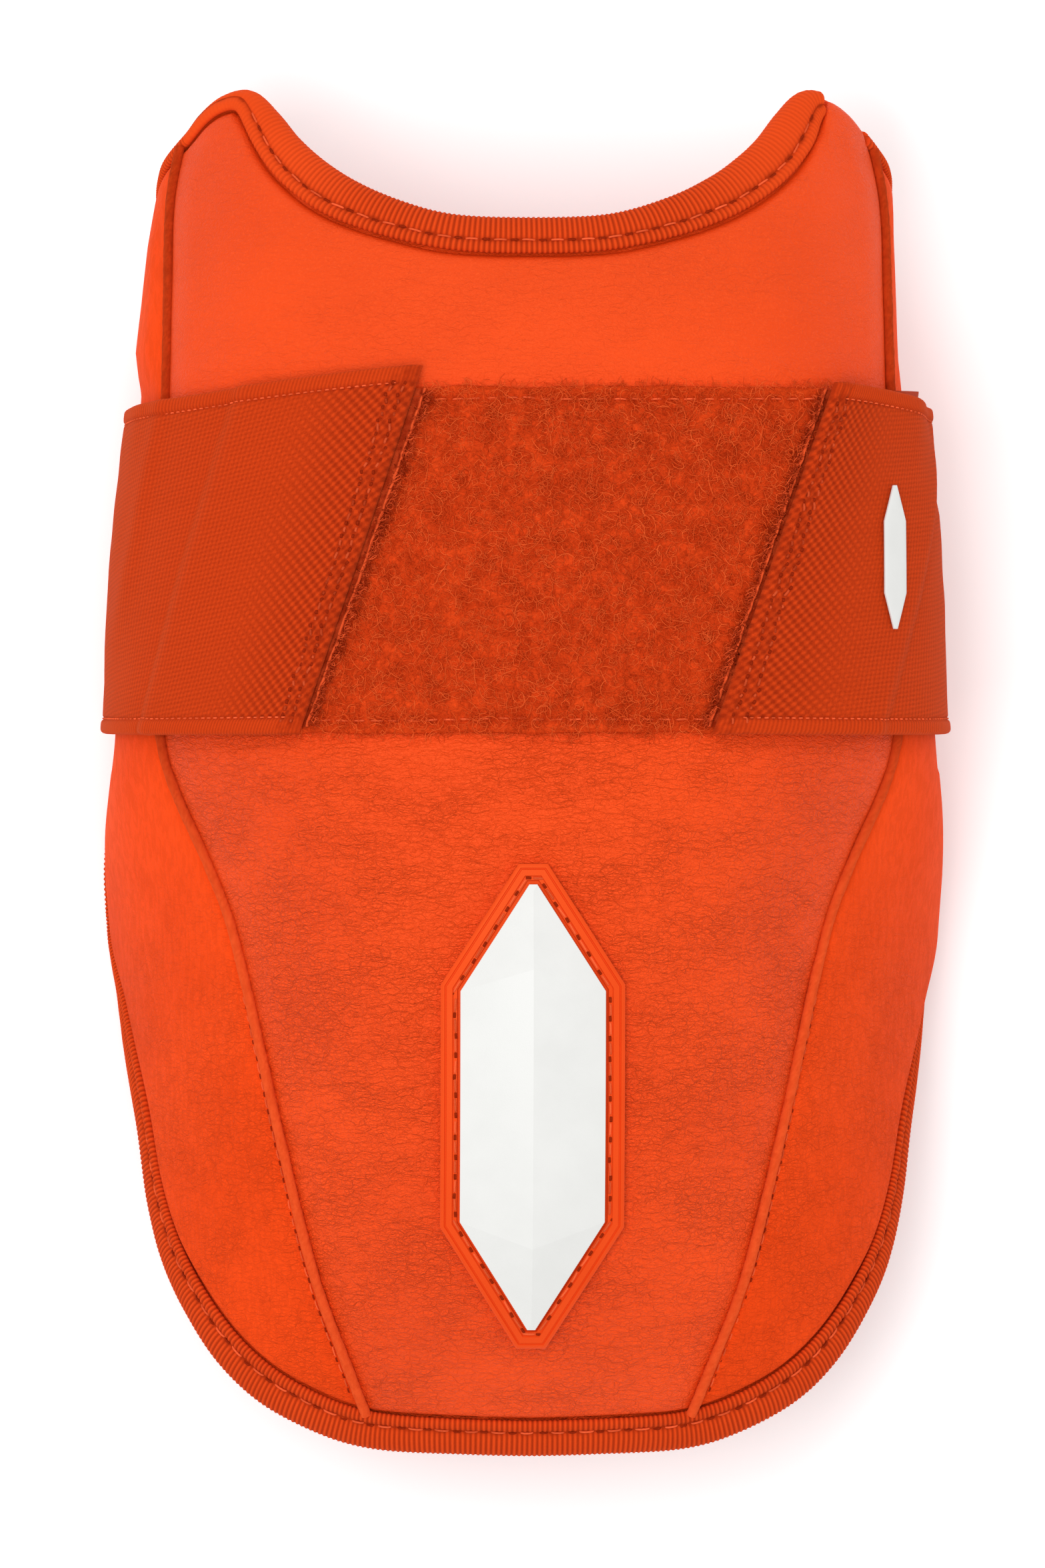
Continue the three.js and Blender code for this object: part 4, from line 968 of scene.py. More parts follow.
def bound_tape(name, line, first, *nodes):
    """Tape along a line that begins at the distance first round the edge."""
    line, along = evenly(line, RIB / 4, COARSE)
    shift = COVER - cover_at((first + along) % edge_length)[:, None]
    narrow = 1 - shift / VALLEY
    inward, lift, rib = (TAPE_SECTION[key][None] for key in ("inward", "lift", "rib"))
    section = np.column_stack([inward[0], lift[0]])
    way = np.gradient(section, axis=0)
    out = unit(np.column_stack([way[:, 1], -way[:, 0]]))
    across = reach_along(section)
    crest = ribs(along[:, None], across[None] / 30)
    bend = 0.03 * soft_noise(along[:, None] / 4, across[None] / 3, 9)
    from_middle = np.minimum((first + along) % edge_length, -(first + along) % edge_length)[:, None]
    lying = 1 - 0.65 * ease(from_middle, 22, 52) * (first > head_reach)
    lying = lying - 0.25 * (1 - ease(COVER - shift, 3, 5))
    high = RIB_HIGH * rib * lying * (crest - 0.3) + bend * rib
    seen = lift > -0.5
    lift = np.where(seen & (inward < VALLEY), lift * narrow - 0.42 * (1 - narrow), lift)
    inward = np.where(seen & (inward > 0), np.where(inward < VALLEY, inward * narrow, inward - shift), inward)
    at_lip = (TAPE_SECTION["lift"] > HIDDEN_LIP) & (TAPE_SECTION["inward"] > 7)
    inward = np.where(at_lip, TAPE_SECTION["inward"] - shift, inward)
    push = (high * out[:, 0], high * out[:, 1])
    outer = sweep_section(line, inward, lift, push)
    reach_in, low = TAPE_BACK.T
    back = reach_in - np.where(low == HIDDEN_LIP, shift[::COARSE] * reach_in / COVER, 0)
    inner = sweep_section(line[::COARSE], back, low + 0 * back)
    # Painted shade for the material: low at the rib valleys, at the lip's edge and in the stitched valley,
    # lowest round each stitch.
    between = np.abs((along[:, None] + STITCH / 2) % STITCH - STITCH / 2)
    groove = (0.5 + 0.5 * (between < 0.8)) * np.exp(-((across - across[VALLEY_COLUMN]) / 0.6) ** 2)
    tone = np.clip(1 - (0.5 - 0.5 * crest) * lying, 0, 1) * (rib > 0.25) * (1 - groove)
    lay = np.stack(np.broadcast_arrays(along[:, None], across[None]), -1)
    points, faces = closed_sheet(outer, inner, COARSE)
    piece = new_piece(name, points, faces, with_inner(lay, COARSE), with_inner(tone, COARSE, 0.6))
    return finished(piece, tape, "binding", *nodes)


# %% Both tapes
BUTT = 0.01
neck_line = on_edge(-SEAM_HEAD + BUTT, TAPE_END)
rim_line = on_edge(SEAM_HEAD + BUTT, len(edge_knots) - SEAM_HEAD - BUTT)
bound_tape("neckline_tape", neck_line, edge_length - head_reach, "neckline_binding")
bound_tape("edge_tape", rim_line, head_reach, "edge_binding")

# %% [markdown]
# ## Stitches
#
# One stitch is modelled as a hand would do it: a small sphere stretched to a thread's length and bent so that
# both ends go into the cloth. Every row of stitches is then the same stitch, copied along a line on the skin,
# each copy a little longer, shorter or askew.

# %% One stitch, copied along a line
def stitch_shape(length, thick, bow):
    """Points and faces of a stitch along X, in millimetres."""
    bpy.ops.mesh.primitive_uv_sphere_add(segments=8, ring_count=8, radius=1)
    sphere = bpy.context.object
    bpy.ops.object.mode_set(mode="EDIT")
    bpy.ops.transform.rotate(value=math.pi / 2, orient_axis="Y", center_override=(0, 0, 0))
    bpy.ops.transform.resize(value=(length / 2, thick / 2, thick / 2))
    bpy.ops.object.mode_set(mode="OBJECT")
    points = np.array([vertex.co for vertex in sphere.data.vertices])
    share = np.clip(points[:, 0] / (length / 2), -1, 1)
    points[:, 1:] *= (1 / np.maximum(np.sqrt(1 - share**2), 0.35))[:, None] * 0.8
    points[:, 2] -= bow * share**4
    faces = [list(face.vertices) for face in sphere.data.polygons]
    bpy.data.objects.remove(sphere)
    return points, faces


def stitch_row(name, at, normal, slot, pitch, length, thick, bow=0.5, lift=0.0, seed=1, hole_shade=0.0, askew=0.07):
    """Stitches along points in space, with a flat blob of the thread's darkest colour, of a given length, after
    each: painted shade where the needle went through.
    """
    shape, shape_faces = stitch_shape(length, thick, bow)
    reach = reach_along(at)
    middles = np.arange(pitch / 2, reach[-1] - pitch / 2, pitch)
    rng = np.random.default_rng(seed)
    forward = unit(np.gradient(at, axis=0))
    points, faces, tone = [], [], []
    for middle in middles + rng.uniform(-0.06, 0.06, len(middles)) * pitch:
        spot, way, up = (np.array([np.interp(middle, reach, part[:, i]) for i in range(3)])
                         for part in (at, forward, normal))
        side = unit(np.cross(up, way))
        way = unit(way + side * rng.uniform(-askew, askew))
        side = np.cross(up, way)
        size = rng.uniform(1 - 1.4 * askew, 1.08)
        points.append(spot + up * lift + shape[:, :1] * way * size + shape[:, 1:2] * side + shape[:, 2:] * up)
        tone.append(np.full(len(shape), rng.uniform(0.6 - askew, 1 - askew)))
        # Painted shade: a flat blob of the thread's darkest colour where the needle went through.
        if hole_shade:
            hole_shade_blob = shape * [hole_shade / length, 1.15, 0.6]
            points.append(spot + way * pitch / 2 + hole_shade_blob[:, :1] * way + hole_shade_blob[:, 1:2] * side + hole_shade_blob[:, 2:] * up)
            tone.append(np.zeros(len(shape)))
    for k in range(len(points)):
        faces += [[corner + k * len(shape) for corner in face] for face in shape_faces]
    piece = new_piece(name, np.vstack(points), faces, tone=np.concatenate(tone))
    return finished(piece, thread, slot, crisp=180)


def offset_line(line, gap, inward, lift):
    """Points and normals of a line shifted over the skin."""
    line, along = evenly(line, gap)
    _, _, inside = edge_frames(line)
    spots = walk(*line.T, inside, inward(along) if callable(inward) else np.full(len(line), inward))
    return place(*spots, lift), skin_up(*spots)


# %% Stitches of the tapes and the lower seams
LINE_STEP, SEWN_COVER = 0.6, 3.6


def in_valley(along):
    """How far in the tape's valley lies, at a distance along the line that is being sewn."""
    return VALLEY - COVER + cover_at((first + along) % edge_length)


for name, line, first in (("neckline", neck_line, edge_length - head_reach), ("edge", rim_line, head_reach)):
    line, along = evenly(line, LINE_STEP)
    shown = np.flatnonzero(cover_at((first + along) % edge_length) > SEWN_COVER)
    line, first = line[shown[0]:shown[-1]], first + along[shown[0]]
    at, up = offset_line(line, LINE_STEP, in_valley, -0.25)
    stitch_row("stitches_" + name, at, up, "binding", STITCH, 2.7, 0.46, seed=len(name), hole_shade=1.5)
for side, name in SIDES:
    line, _ = evenly(seam_line[side], LINE_STEP)
    far = distance_to(edge_coarse, *line.T)[0]
    line = line[(line[:, 1] < -37) & (far > COVER + 2)]
    at, up = offset_line(line, LINE_STEP, -1.5 * side, -0.16)
    stitch_row("stitches_seam_" + name, at, up, "side_leather", 3.0, 1.9, 0.36, 0.3,
               seed=20 + side, hole_shade=0.95)

# %% [markdown]
# ## Piping in the seams
#
# A cord covered in brushed cloth sits in each seam and shows as a soft welt. It is a tube of fourteen sides
# along the seam with its surface roughened. Its colour has a painted sheen that makes it lighter towards the
# foot, and painted shade that keeps it dark near the strap and above it.

# %% Piping
PIPE, PIPE_SIDES = 0.95, 14


def brushed_cloth():
    f = Finish("brushed_cloth", 0.9, 0.02, nap=0.1)
    upper = f.along_guard()
    fibres = f.noise(f.place((1, 0.6, 1)), 3.2, 4, 0.7)
    # Painted sheen towards the foot, painted shade near the strap and above it.
    painted_sheen = f.spread(f.plus(upper, f.times(fibres, 30)), 45, -20)
    light = f.between(painted_sheen, paint(208, 64, 22), paint(242, 90, 42))
    dark = f.between(painted_sheen, paint(146, 38, 11), paint(206, 62, 22))
    share = f.maths("ADD", f.times(f.tone(), 0.6), f.times(fibres, 0.6), True)
    return f.wear(f.between(share, dark, light), None, f.relief(fibres, 0.2, 0.8))


def tube(at, up, radius, sides):
    """Rings round points in space; radius holds one number for each point and side."""
    forward = unit(np.gradient(at, axis=0))
    up = unit(up - (up * forward).sum(1, keepdims=True) * forward)
    across = np.cross(forward, up)
    turn = np.linspace(0, 2 * np.pi, sides, endpoint=False)[None, :, None]
    rings = at[:, None] + radius[..., None] * (np.cos(turn) * up[:, None] + np.sin(turn) * across[:, None])
    index = np.arange(rings.shape[0] * sides).reshape(-1, sides)
    after = np.roll(index, -1, 1)
    faces = np.stack([index[:-1], after[:-1], after[1:], index[1:]], -1).reshape(-1, 4).tolist()
    faces += [index[0, ::-1].tolist(), index[-1].tolist()]
    return rings.reshape(-1, 3), faces


brushed = brushed_cloth()
for side, name in SIDES:
    line, _ = evenly(seam_line[side], 0.45)
    line = line[past_lip(*line.T) > -0.6]
    count, turn = np.arange(len(line))[:, None], np.arange(PIPE_SIDES)[None]
    rough = PIPE - 0.06 + 0.07 * soft_noise(count / 1.3, turn / 1.4, 11)
    rough = rough + 0.04 * soft_noise(count / 9, 0 * turn, 12)
    points, faces = tube(place(*line.T, 0.0), skin_up(*line.T), rough, PIPE_SIDES)
    tone = np.clip(0.45 + 0.4 * soft_noise(count / 1.1 + 0 * turn, turn / 1.1 + 0 * count, 13), 0, 1).ravel()
    piece = new_piece("piping_welt_" + name, points, faces, tone=tone)
    finished(piece, brushed, "piping", "piping_" + name)

# %% [markdown]
# ## Loop field
#
# The field is a woven ground covered in a tangle of fine curly loops. The ground is a lumpy sheet, sewn down
# near its long edges, and the tangle is thousands of short three-sided strands that arch out of it, some past
# the edge. Each strand has its own shade.

# %% Ground of the loop field
def loop_edges(y):
    """How far out the field reaches on both sides."""
    return [np.interp(y, *seam_line[side][::-1, ::-1].T) - side * LOOP_INSET for side, _ in SIDES]


def loop_high(s):
    """The field's height. It is cut back under the strap's ends, where the strap's own edge lies lower."""
    return LOOP_WIDE - 5 * ease(-s, 36, 44) - 5 * ease(s, 50, 58)


LOOP_SEWN = 2.3
rows = np.r_[0, 0.2, 0.5, np.linspace(0.9, LOOP_WIDE - 0.9, 111), LOOP_WIDE - np.array([0.5, 0.2, 0])]
rows = rows / LOOP_WIDE
columns = np.linspace(0, 1, 241)
left, right = loop_edges(LOOP_FOOT + rows[:, None] * LOOP_WIDE)
s = left + (right - left) * columns[None]
y = LOOP_FOOT + rows[:, None] * loop_high(s) + 0.25 * soft_noise(columns[None] * 22, 0 * rows[:, None], 15)
from_border = (np.minimum(rows, 1 - rows) * LOOP_WIDE)[:, None]
sewn = np.exp(-((from_border - LOOP_SEWN) / 0.8) ** 2)
lumps = 0.28 * soft_noise(s / 1.5, y / 1.5, 16) + 0.2 * soft_noise(s / 4, y / 4, 17)
lift = LOOP_TOP - 0.2 + lumps - 0.55 * sewn - 0.7 * (1 - np.clip(from_border / 0.8, 0, 1) ** 0.5)
points, faces = closed_sheet(place(s, y, lift), place(s, y, np.full(s.shape, LAY_GAP))[::2, ::2], 2)
finished(new_piece("loop_ground", points, faces), ground, "loop", "loop_panel")


# %% Tangle of loops
def strands(name, finish, slot, base, up, length, height, radius, seed, lean=0.0):
    """Curly strands on base points with a normal, with a length and an arch height for each. lean, from -1
    to 1, turns them towards one side of the guard."""
    rng = np.random.default_rng(seed)
    count = len(base)
    turn = rng.uniform(0, 2 * np.pi, count) * (1 - abs(lean))
    side = unit(np.cross([0.0, 1.0, 0.0], up)) * (1 if lean >= 0 else -1)
    way = side * np.cos(turn)[:, None] + np.cross(up, side) * np.sin(turn)[:, None]
    cross = np.cross(up, way)
    curl = rng.uniform(-2.1, 2.1, count)
    t = np.linspace(0, 1, 5)[None]
    angle = curl[:, None] * (t - 0.5) * 2
    forward = length[:, None] * (t - 0.5) * np.cos(angle)
    sideways = length[:, None] * 0.5 * np.sin(angle) * (t - 0.5) * 2
    arch = height[:, None] * np.sin(np.pi * (0.08 + 0.84 * t)) ** 0.8
    at = (base[:, None] + forward[..., None] * way[:, None] + sideways[..., None] * cross[:, None]
          + arch[..., None] * up[:, None])
    direction = unit(np.gradient(at, axis=1))
    first = unit(np.cross(direction, up[:, None] + 0.01))
    second = np.cross(direction, first)
    thick = radius * np.array([0.8, 1, 1, 0.9, 0.5])[None, :, None, None]
    corner = np.radians([0, 120, 240])[None, None, :, None]
    section = np.cos(corner) * first[:, :, None] + np.sin(corner) * second[:, :, None]
    rings = at[:, :, None] + thick * section
    index = np.arange(rings[..., 0].size).reshape(rings.shape[:3])
    after = np.roll(index, -1, 2)
    quads = np.stack([index[:, :-1], after[:, :-1], after[:, 1:], index[:, 1:]], -1).reshape(-1, 4)
    ends = np.concatenate([index[:, 0, ::-1], index[:, -1]])
    tone = np.repeat(rng.uniform(0, 1, count) ** 1.3, index[0].size)
    piece = new_piece(name, rings.reshape(-1, 3), quads.tolist() + ends.tolist(), tone=tone)
    return finished(piece, finish, slot, crisp=180)


STRANDS = 7500


def open_field(y):
    """s of the strap's two cuts at y, between which the loops show."""
    share = (y - STRAP_FOOT) / (STRAP_WIDE + 6)
    return END_MIDDLE[-1] + (share - 0.5) * END_SLANT - 3, END_MIDDLE[1] + (share - 0.5) * END_SLANT + 5


rng = np.random.default_rng(31)
y = LOOP_FOOT + rng.uniform(-0.5, LOOP_WIDE + 0.4, STRANDS)
left, right = open_field(y)
s = left + (right - left) * rng.uniform(0, 1, STRANDS)
border = np.minimum(y - LOOP_FOOT, LOOP_FOOT + LOOP_WIDE - y)
foot = np.where(border < 0.4, 0.3, LOOP_TOP - 0.25)
strands("loop_tangle", fuzz, "loop", place(s, y, foot), skin_up(s, y), rng.uniform(2.0, 4.4, STRANDS),
        rng.uniform(0.25, 1.0, STRANDS), 0.055, 32)

# %% Stitches of the loop field
for name, y_at in (("foot", LOOP_FOOT + LOOP_SEWN), ("top", LOOP_FOOT + LOOP_WIDE - LOOP_SEWN)):
    left, right = loop_edges(y_at)
    line = np.column_stack([np.linspace(left + 2, right - 2, 240), np.full(240, y_at)])
    line[:, 1] += 0.25 * soft_noise(line[:, 0] / 25, 0 * line[:, 0], 33)
    stitch_row("stitches_loop_" + name, place(*line.T, LOOP_TOP - 0.15), skin_up(*line.T),
               "loop", 3.1, 2.1, 0.42, seed=34)

# %% [markdown]
# ## Elastic strap
#
# One elastic band runs from its left free end over the left side, flat under the guard, and up the right side
# to its right free end. The free ends lie on their hook tabs, so they stand well proud of the loop field. The
# band is a fine grid where it is seen from above: near the cuts every knot of the twill is a bump of its own.
# The long edges are rolled hems, and the slanting ends are turned in and sewn.

# %% The strap's middle surface
HOOK_DEEP, TAB_CLEAR, TAB_RAMP = 25, 4, 6
STRAP_LANDING, BEND_PULL, BEND_DROP = 9, 0.62, 0.8
NEAR_CUT = 27
# The seam along each hem, where the sewn end turns into open weave, and how askew the cut runs to the band
HEM_SEWN, FRAYED, CUT_TURN = 2.85, (3.2, 4.6), 0.93
# A soft fold on the left flank
FOLD_X, FOLD_Y, FOLD_SLANT = -62.7, 61.1, 0.19


def end_x(side, across):
    return END_MIDDLE[side] + (across - 0.5) * END_SLANT


def front_steps(reach):
    """Distances from the cut: very close at the rim, a quarter of a knot near the cut, and wider past it."""
    steps = np.r_[0, 0.12, 0.3, 0.55, np.arange(0.85, NEAR_CUT, 0.3)]
    return np.r_[steps, np.linspace(steps[-1], reach, max(2, round((reach - steps[-1]) / 0.85)))[1:]]


def strap_row(side, across, steps):
    """Middle points of the band along one line, from its cut to where it lies flat."""
    rise = STRAP_WIDE + FLARE[side] * (1 - ease(steps / steps[-1], -0.2, 1))
    y = STRAP_FOOT + across * rise
    start = arc_at_x(end_x(side, across), y[0])
    widest = np.interp(y, GRID_Y, widest_at)
    s = start + (side * widest - start) * steps / steps[-1]
    tab_end = side * start + HOOK_DEEP + TAB_CLEAR
    over_tab = 1 - ease(side * s, tab_end, tab_end + TAB_RAMP)
    over_loop = 1 - ease(side * s, np.interp(y, GRID_Y, seam_at) + 1, widest)
    foot = np.maximum(HOOK_TOP * over_tab, LOOP_TOP * over_loop) + LAY_GAP
    front = place(s, y, foot + STRAP_THICK / 2 - squeezed(s, y))
    edge_y = y[-1]
    low = np.interp(edge_y, GRID_Y, bend_at)
    down_s, down_y = side * np.linspace(widest[-1], low, 37)[1:], np.full(36, edge_y)
    down = place(down_s, down_y, LAY_GAP + STRAP_THICK / 2 - squeezed(down_s, down_y) * np.linspace(1, 0, 36))
    flat = place(side * np.interp(edge_y, GRID_Y, landing_at), edge_y)[0] - side * STRAP_LANDING
    landing = np.array([flat, edge_y, STRAP_THICK / 2])
    pull = np.linalg.norm(down[-1] - landing) * BEND_PULL
    first = down[-1] + unit(down[-1] - down[-2]) * pull * BEND_DROP
    second = landing + [side * pull, 0, 0]
    t = np.linspace(0, 1, 21)[1:, None]
    bend = (1 - t)**3 * down[-1] + 3 * (1 - t)**2 * t * first + 3 * (1 - t) * t**2 * second + t**3 * landing
    return np.vstack([front, down, bend])


across_mm = np.r_[0, 0.12, 0.3, 0.55, np.linspace(0.85, 59.15, 193), BAND - np.array([0.55, 0.3, 0.12, 0])]
across_share = across_mm / BAND
FRONT_REACH = {-1: 78.0, 1: 58.0}
steps = {side: front_steps(FRONT_REACH[side]) for side in (-1, 1)}
halves = {side: np.array([strap_row(side, share, steps[side]) for share in across_share]) for side in (-1, 1)}
gap = np.linspace(0, 1, 12)[None, 1:-1, None]
flat_run = halves[-1][:, -1:] * (1 - gap) + halves[1][:, -1:] * gap
strap_grid = np.concatenate([halves[-1], flat_run, halves[1][:, ::-1]], 1)
spare = (strap_grid.shape[1] - 1) % COARSE
if spare:
    middle = halves[-1].shape[1]
    strap_grid = np.delete(strap_grid, np.arange(middle, middle + spare), axis=1)
print("strap grid", strap_grid.shape)


# %% The strap's relief
def twill(u, v):
    """Height of the weave from 0 to 1, with u along the band and v across it."""
    along = u * math.cos(TWILL_TURN) + v * math.sin(TWILL_TURN)
    beside = v * math.cos(TWILL_TURN) - u * math.sin(TWILL_TURN)
    rows, knots = np.cos(2 * np.pi * beside / TWILL_ROW), np.cos(2 * np.pi * along / TWILL_KNOT)
    return np.clip(0.5 + 0.26 * rows + 0.26 * knots, 0, 1)


way = np.gradient(strap_grid, axis=1)
over = np.gradient(strap_grid, axis=0)
normal = unit(np.cross(over, way))
if (normal[100, 5] * read(skin_normal, -40, 30)).sum() < 0:
    normal = -normal
length = np.cumsum(np.r_[0, np.linalg.norm(np.diff(strap_grid[100], axis=0), axis=1)])
u = length[None] + 0 * across_mm[:, None]
v = across_mm[:, None] + 0 * u
from_cut = np.minimum(u, u[:, -1:] - u) * CUT_TURN
from_hem = np.minimum(v, BAND - v)
knots = twill(u, v)
shown = 0.75 * (1 - 0.97 * ease(from_cut, 6, 17)) * ease(from_cut, *FRAYED)
shown = shown * (1 - ease(from_cut, NEAR_CUT - 5, NEAR_CUT - 1)) * ease(from_hem, 2.4, 3)
relief = 0.24 * (knots - 1) * shown
relief += 0.28 * np.sqrt(np.clip(1 - ((from_hem - 1.35) / 1.35) ** 2, 0, 1)) * ease(from_cut, 1.5, 3)
relief -= 0.3 * np.exp(-((from_hem - HEM_SEWN) / 0.3) ** 2) * ease(from_cut, 2.2, 3.4)
for sewn_at in (1.7, 3.5):
    relief -= 0.22 * np.exp(-((from_cut - sewn_at) / 0.4) ** 2) * ease(from_hem, 0.6, 2)
relief += 0.1 * soft_noise(u / 8, v / 6, 41) * ease(from_cut, 0, 8)
frayed = 1 - ease(from_cut, *FRAYED)
relief += 0.2 * soft_noise(u / 0.6, v / 0.7, 42) * frayed - 0.6 * (1 - ease(from_cut, 0, 1.2))
for distance in (from_hem, from_cut):
    relief -= 0.75 * (1 - np.sqrt(1 - (1 - np.clip(distance / 0.75, 0, 1)) ** 2))
low = 1 - ease(strap_grid[..., 2], 4, 12)
relief = np.where(low > 0, np.minimum(relief, 0) * low + relief * (1 - low), relief)
crease = np.abs((strap_grid[..., 0] - FOLD_X) - (strap_grid[..., 1] - FOLD_Y) * FOLD_SLANT)
crease = crease * (strap_grid[..., 0] < -50)
ridge = np.exp(-(crease / 1.3) ** 2) * ease(strap_grid[..., 1], 12, 34) * (strap_grid[..., 0] < -50)
relief += 0.55 * ridge * (strap_grid[..., 2] > 40)
outer = strap_grid + normal * (STRAP_THICK / 2 + relief)[..., None]
inner = strap_grid - normal * (STRAP_THICK / 2)
for face in (outer, inner):
    face[..., 2] = np.maximum(face[..., 2], 0.0)
# Painted shade for the material: darker between the knots, along the sewn lines of the hems and the end, and
# over the frayed end.
tone = 1 - shown * (1 - knots) * 0.75 - frayed * (0.3 + 0.5 * soft_noise(u / 0.5, v / 0.6, 46))
tone -= 0.55 * np.exp(-((from_hem - HEM_SEWN) / 0.35) ** 2) + 0.4 * np.exp(-((from_cut - 1.7) / 0.45) ** 2)
points, faces = closed_sheet(outer, inner[::COARSE, ::COARSE], COARSE)
lay = np.stack([u, v], -1)
strap = new_piece("elastic_band", points, faces, with_inner(lay, COARSE),
                  with_inner(np.clip(tone, 0, 1), COARSE))
opened = with_inner(1 - ease(from_cut, 4, 22), COARSE)
strap.data.attributes.new("opened", "FLOAT", "POINT").data.foreach_set("value", opened.astype(np.float32))
finished(strap, elastic, "elastic", "elastic_strap")


# %% Stitches of the strap
def on_strap(rows_at, columns_at, lift):
    """Points and normals on the band's outer face, at fractional rows and columns of its grid."""
    r, c = np.asarray(rows_at, float), np.asarray(columns_at, float)
    r0, c0 = np.clip(r.astype(int), 0, outer.shape[0] - 2), np.clip(c.astype(int), 0, outer.shape[1] - 2)
    r, c = (r - r0)[:, None], (c - c0)[:, None]

    def mixed(table):
        low = table[r0, c0] * (1 - c) + table[r0, c0 + 1] * c
        return low * (1 - r) + (table[r0 + 1, c0] * (1 - c) + table[r0 + 1, c0 + 1] * c) * r

    base = mixed(strap_grid + normal * STRAP_THICK / 2)
    return base + mixed(normal) * lift, unit(mixed(normal))


all_rows = np.arange(len(across_mm))
for side, name in SIDES:
    reach = length if side < 0 else length[-1] - length[::-1]
    columns_at = np.arange(len(length)) if side < 0 else np.arange(len(length))[::-1]
    for edge, v_at in (("foot", HEM_SEWN), ("top", BAND - HEM_SEWN)):
        run = np.arange(2.9, FRONT_REACH[side] - 4, 0.8)
        at, up = on_strap(np.interp(np.full(len(run), v_at), across_mm, all_rows),
                          np.interp(run, reach, columns_at), -0.12)
        stitch_row(f"stitches_hem_{edge}_{name}", at, up, "elastic", 1.3, 0.75, 0.38, 0.3, seed=43)
    run = np.arange(1.2, 58.8, 0.8)
    for row, from_end in (("outer", 1.8), ("inner", 3.8)):
        at, up = on_strap(np.interp(run, across_mm, all_rows),
                          np.interp(np.full(len(run), from_end), reach, columns_at), -0.06)
        stitch_row(f"stitches_end_{row}_{name}", at, up, "elastic", 2.3, 1.5, 0.55, 0.5,
                   seed=44 + len(row) * side, hole_shade=0.8, askew=0.45)

# %% [markdown]
# ## Hook tabs
#
# Under each free end a piece of hook tape shows as a thin rim past the cut, with the tips of its hooks turned
# up at the edge. A hook is a short bent strand like those of the loop field, only stiffer and upright.

# %% Hook tabs
HOOKS, RIM = 480, 0.9


def rim_at(side, share, y):
    """How far across the skin the tape's rim lies, a little past the strap's cut."""
    return np.array([arc_at_x(end_x(side, a) - side * RIM, b) for a, b in zip(share, y)])


for side, name in SIDES:
    share = np.linspace(0.015, 0.985, 161)[:, None]
    y = LOOP_FOOT + 0.2 + LOOP_WIDE * share
    start = rim_at(side, share[:, 0], y[:, 0])[:, None]
    reach = np.r_[0, 0.12, 0.25, 0.4, 0.55, 0.75, 1.1, 2.5, np.linspace(6, HOOK_DEEP, 5)][None]
    s = start + side * reach + 0.12 * soft_noise(share * 60, 0 * reach, 51)
    y = y + 0 * s
    round_off = 0.3 * (1 - np.sqrt(1 - (1 - np.clip(reach / 0.3, 0, 1)) ** 2)) + 0.55 * ease(reach, 0.35, 0.7)
    round_off = round_off + 0.1 * soft_noise(share * 90, reach / 0.5, 57)
    top = place(s, y, HOOK_TOP - round_off + 0 * s)
    under = place(s, y, HOOK_FOOT + 0 * s)
    points, faces = closed_sheet(top, under[::4, ::4], 4)
    # Painted shade: the tape is light at its rim and darker from there in, under the strap's cut.
    tone = 0.75 - 0.6 * ease(reach, 0.4, 0.7) + 0.25 * soft_noise(share * 80, reach / 0.4, 52)
    tone = with_inner(tone, 4, 0.3)
    finished(new_piece("hook_tape_" + name, points, faces, tone=np.clip(tone, 0, 1)), hooks, "hook",
             "hook_tab_" + name)
    rng = np.random.default_rng(53 + side)
    share = rng.uniform(0.02, 0.98, HOOKS)
    y = LOOP_FOOT + LOOP_WIDE * share
    s = rim_at(side, share, y)
    s += side * rng.uniform(-1.1, 0.2, HOOKS)
    strands("hook_tips_" + name, hooks, "hook", place(s, y, HOOK_TOP - 0.5), skin_up(s, y),
            rng.uniform(0.9, 2.6, HOOKS), rng.uniform(0.2, 1.1, HOOKS), 0.08, 54 + side, -side * 0.85)

# %% [markdown]
# ## Badge
#
# The badge is modelled flat, as by hand, and bent onto the skin at the end. Its border starts as a disc of
# eight corners that is drawn to an upright shape, extruded, and inset several times to press the rim line and
# the sunken channel for the stitches. The white plate is cut like a gem: a block whose top is sliced away by
# one plane for each side. Before it is bent, the mesh is cut into strips so that it can follow the curve.

# %% Flat modelling helpers
BADGE_HIGH, BADGE_WIDE, BADGE_Y = 82, 31, -56.5
FLANK, TIP_WIDE = 0.5, 0.16


def outline(flank, tip):
    """Corners of an upright shape with straight flanks and short flat tips, as shares of its half size."""
    corners = [(1, flank), (tip, 1), (-tip, 1), (-1, flank)]
    return corners + [(-x, -y) for x, y in corners]


def tall_block(name, high, wide, foot, top, flank=FLANK, tip=TIP_WIDE):
    """A block with that outline, its top face selected, in edit mode."""
    bpy.ops.mesh.primitive_circle_add(vertices=8, fill_type="NGON")
    block = bpy.context.object
    block.name = block.data.name = name
    order = sorted(block.data.vertices, key=lambda vertex: math.atan2(vertex.co.y, vertex.co.x) % math.tau)
    for vertex, (x, y) in zip(order, outline(flank, tip)):
        vertex.co = (x * wide / 2, y * high / 2, foot)
    bpy.ops.object.mode_set(mode="EDIT")
    bpy.ops.mesh.extrude_region_move(TRANSFORM_OT_translate={"value": (0, 0, top - foot)})
    return block


def step_in(thickness, down=0.0):
    """Insets the selected face and lowers or raises what is left of it."""
    bpy.ops.mesh.inset(thickness=thickness)
    if down:
        bpy.ops.transform.translate(value=(0, 0, down))


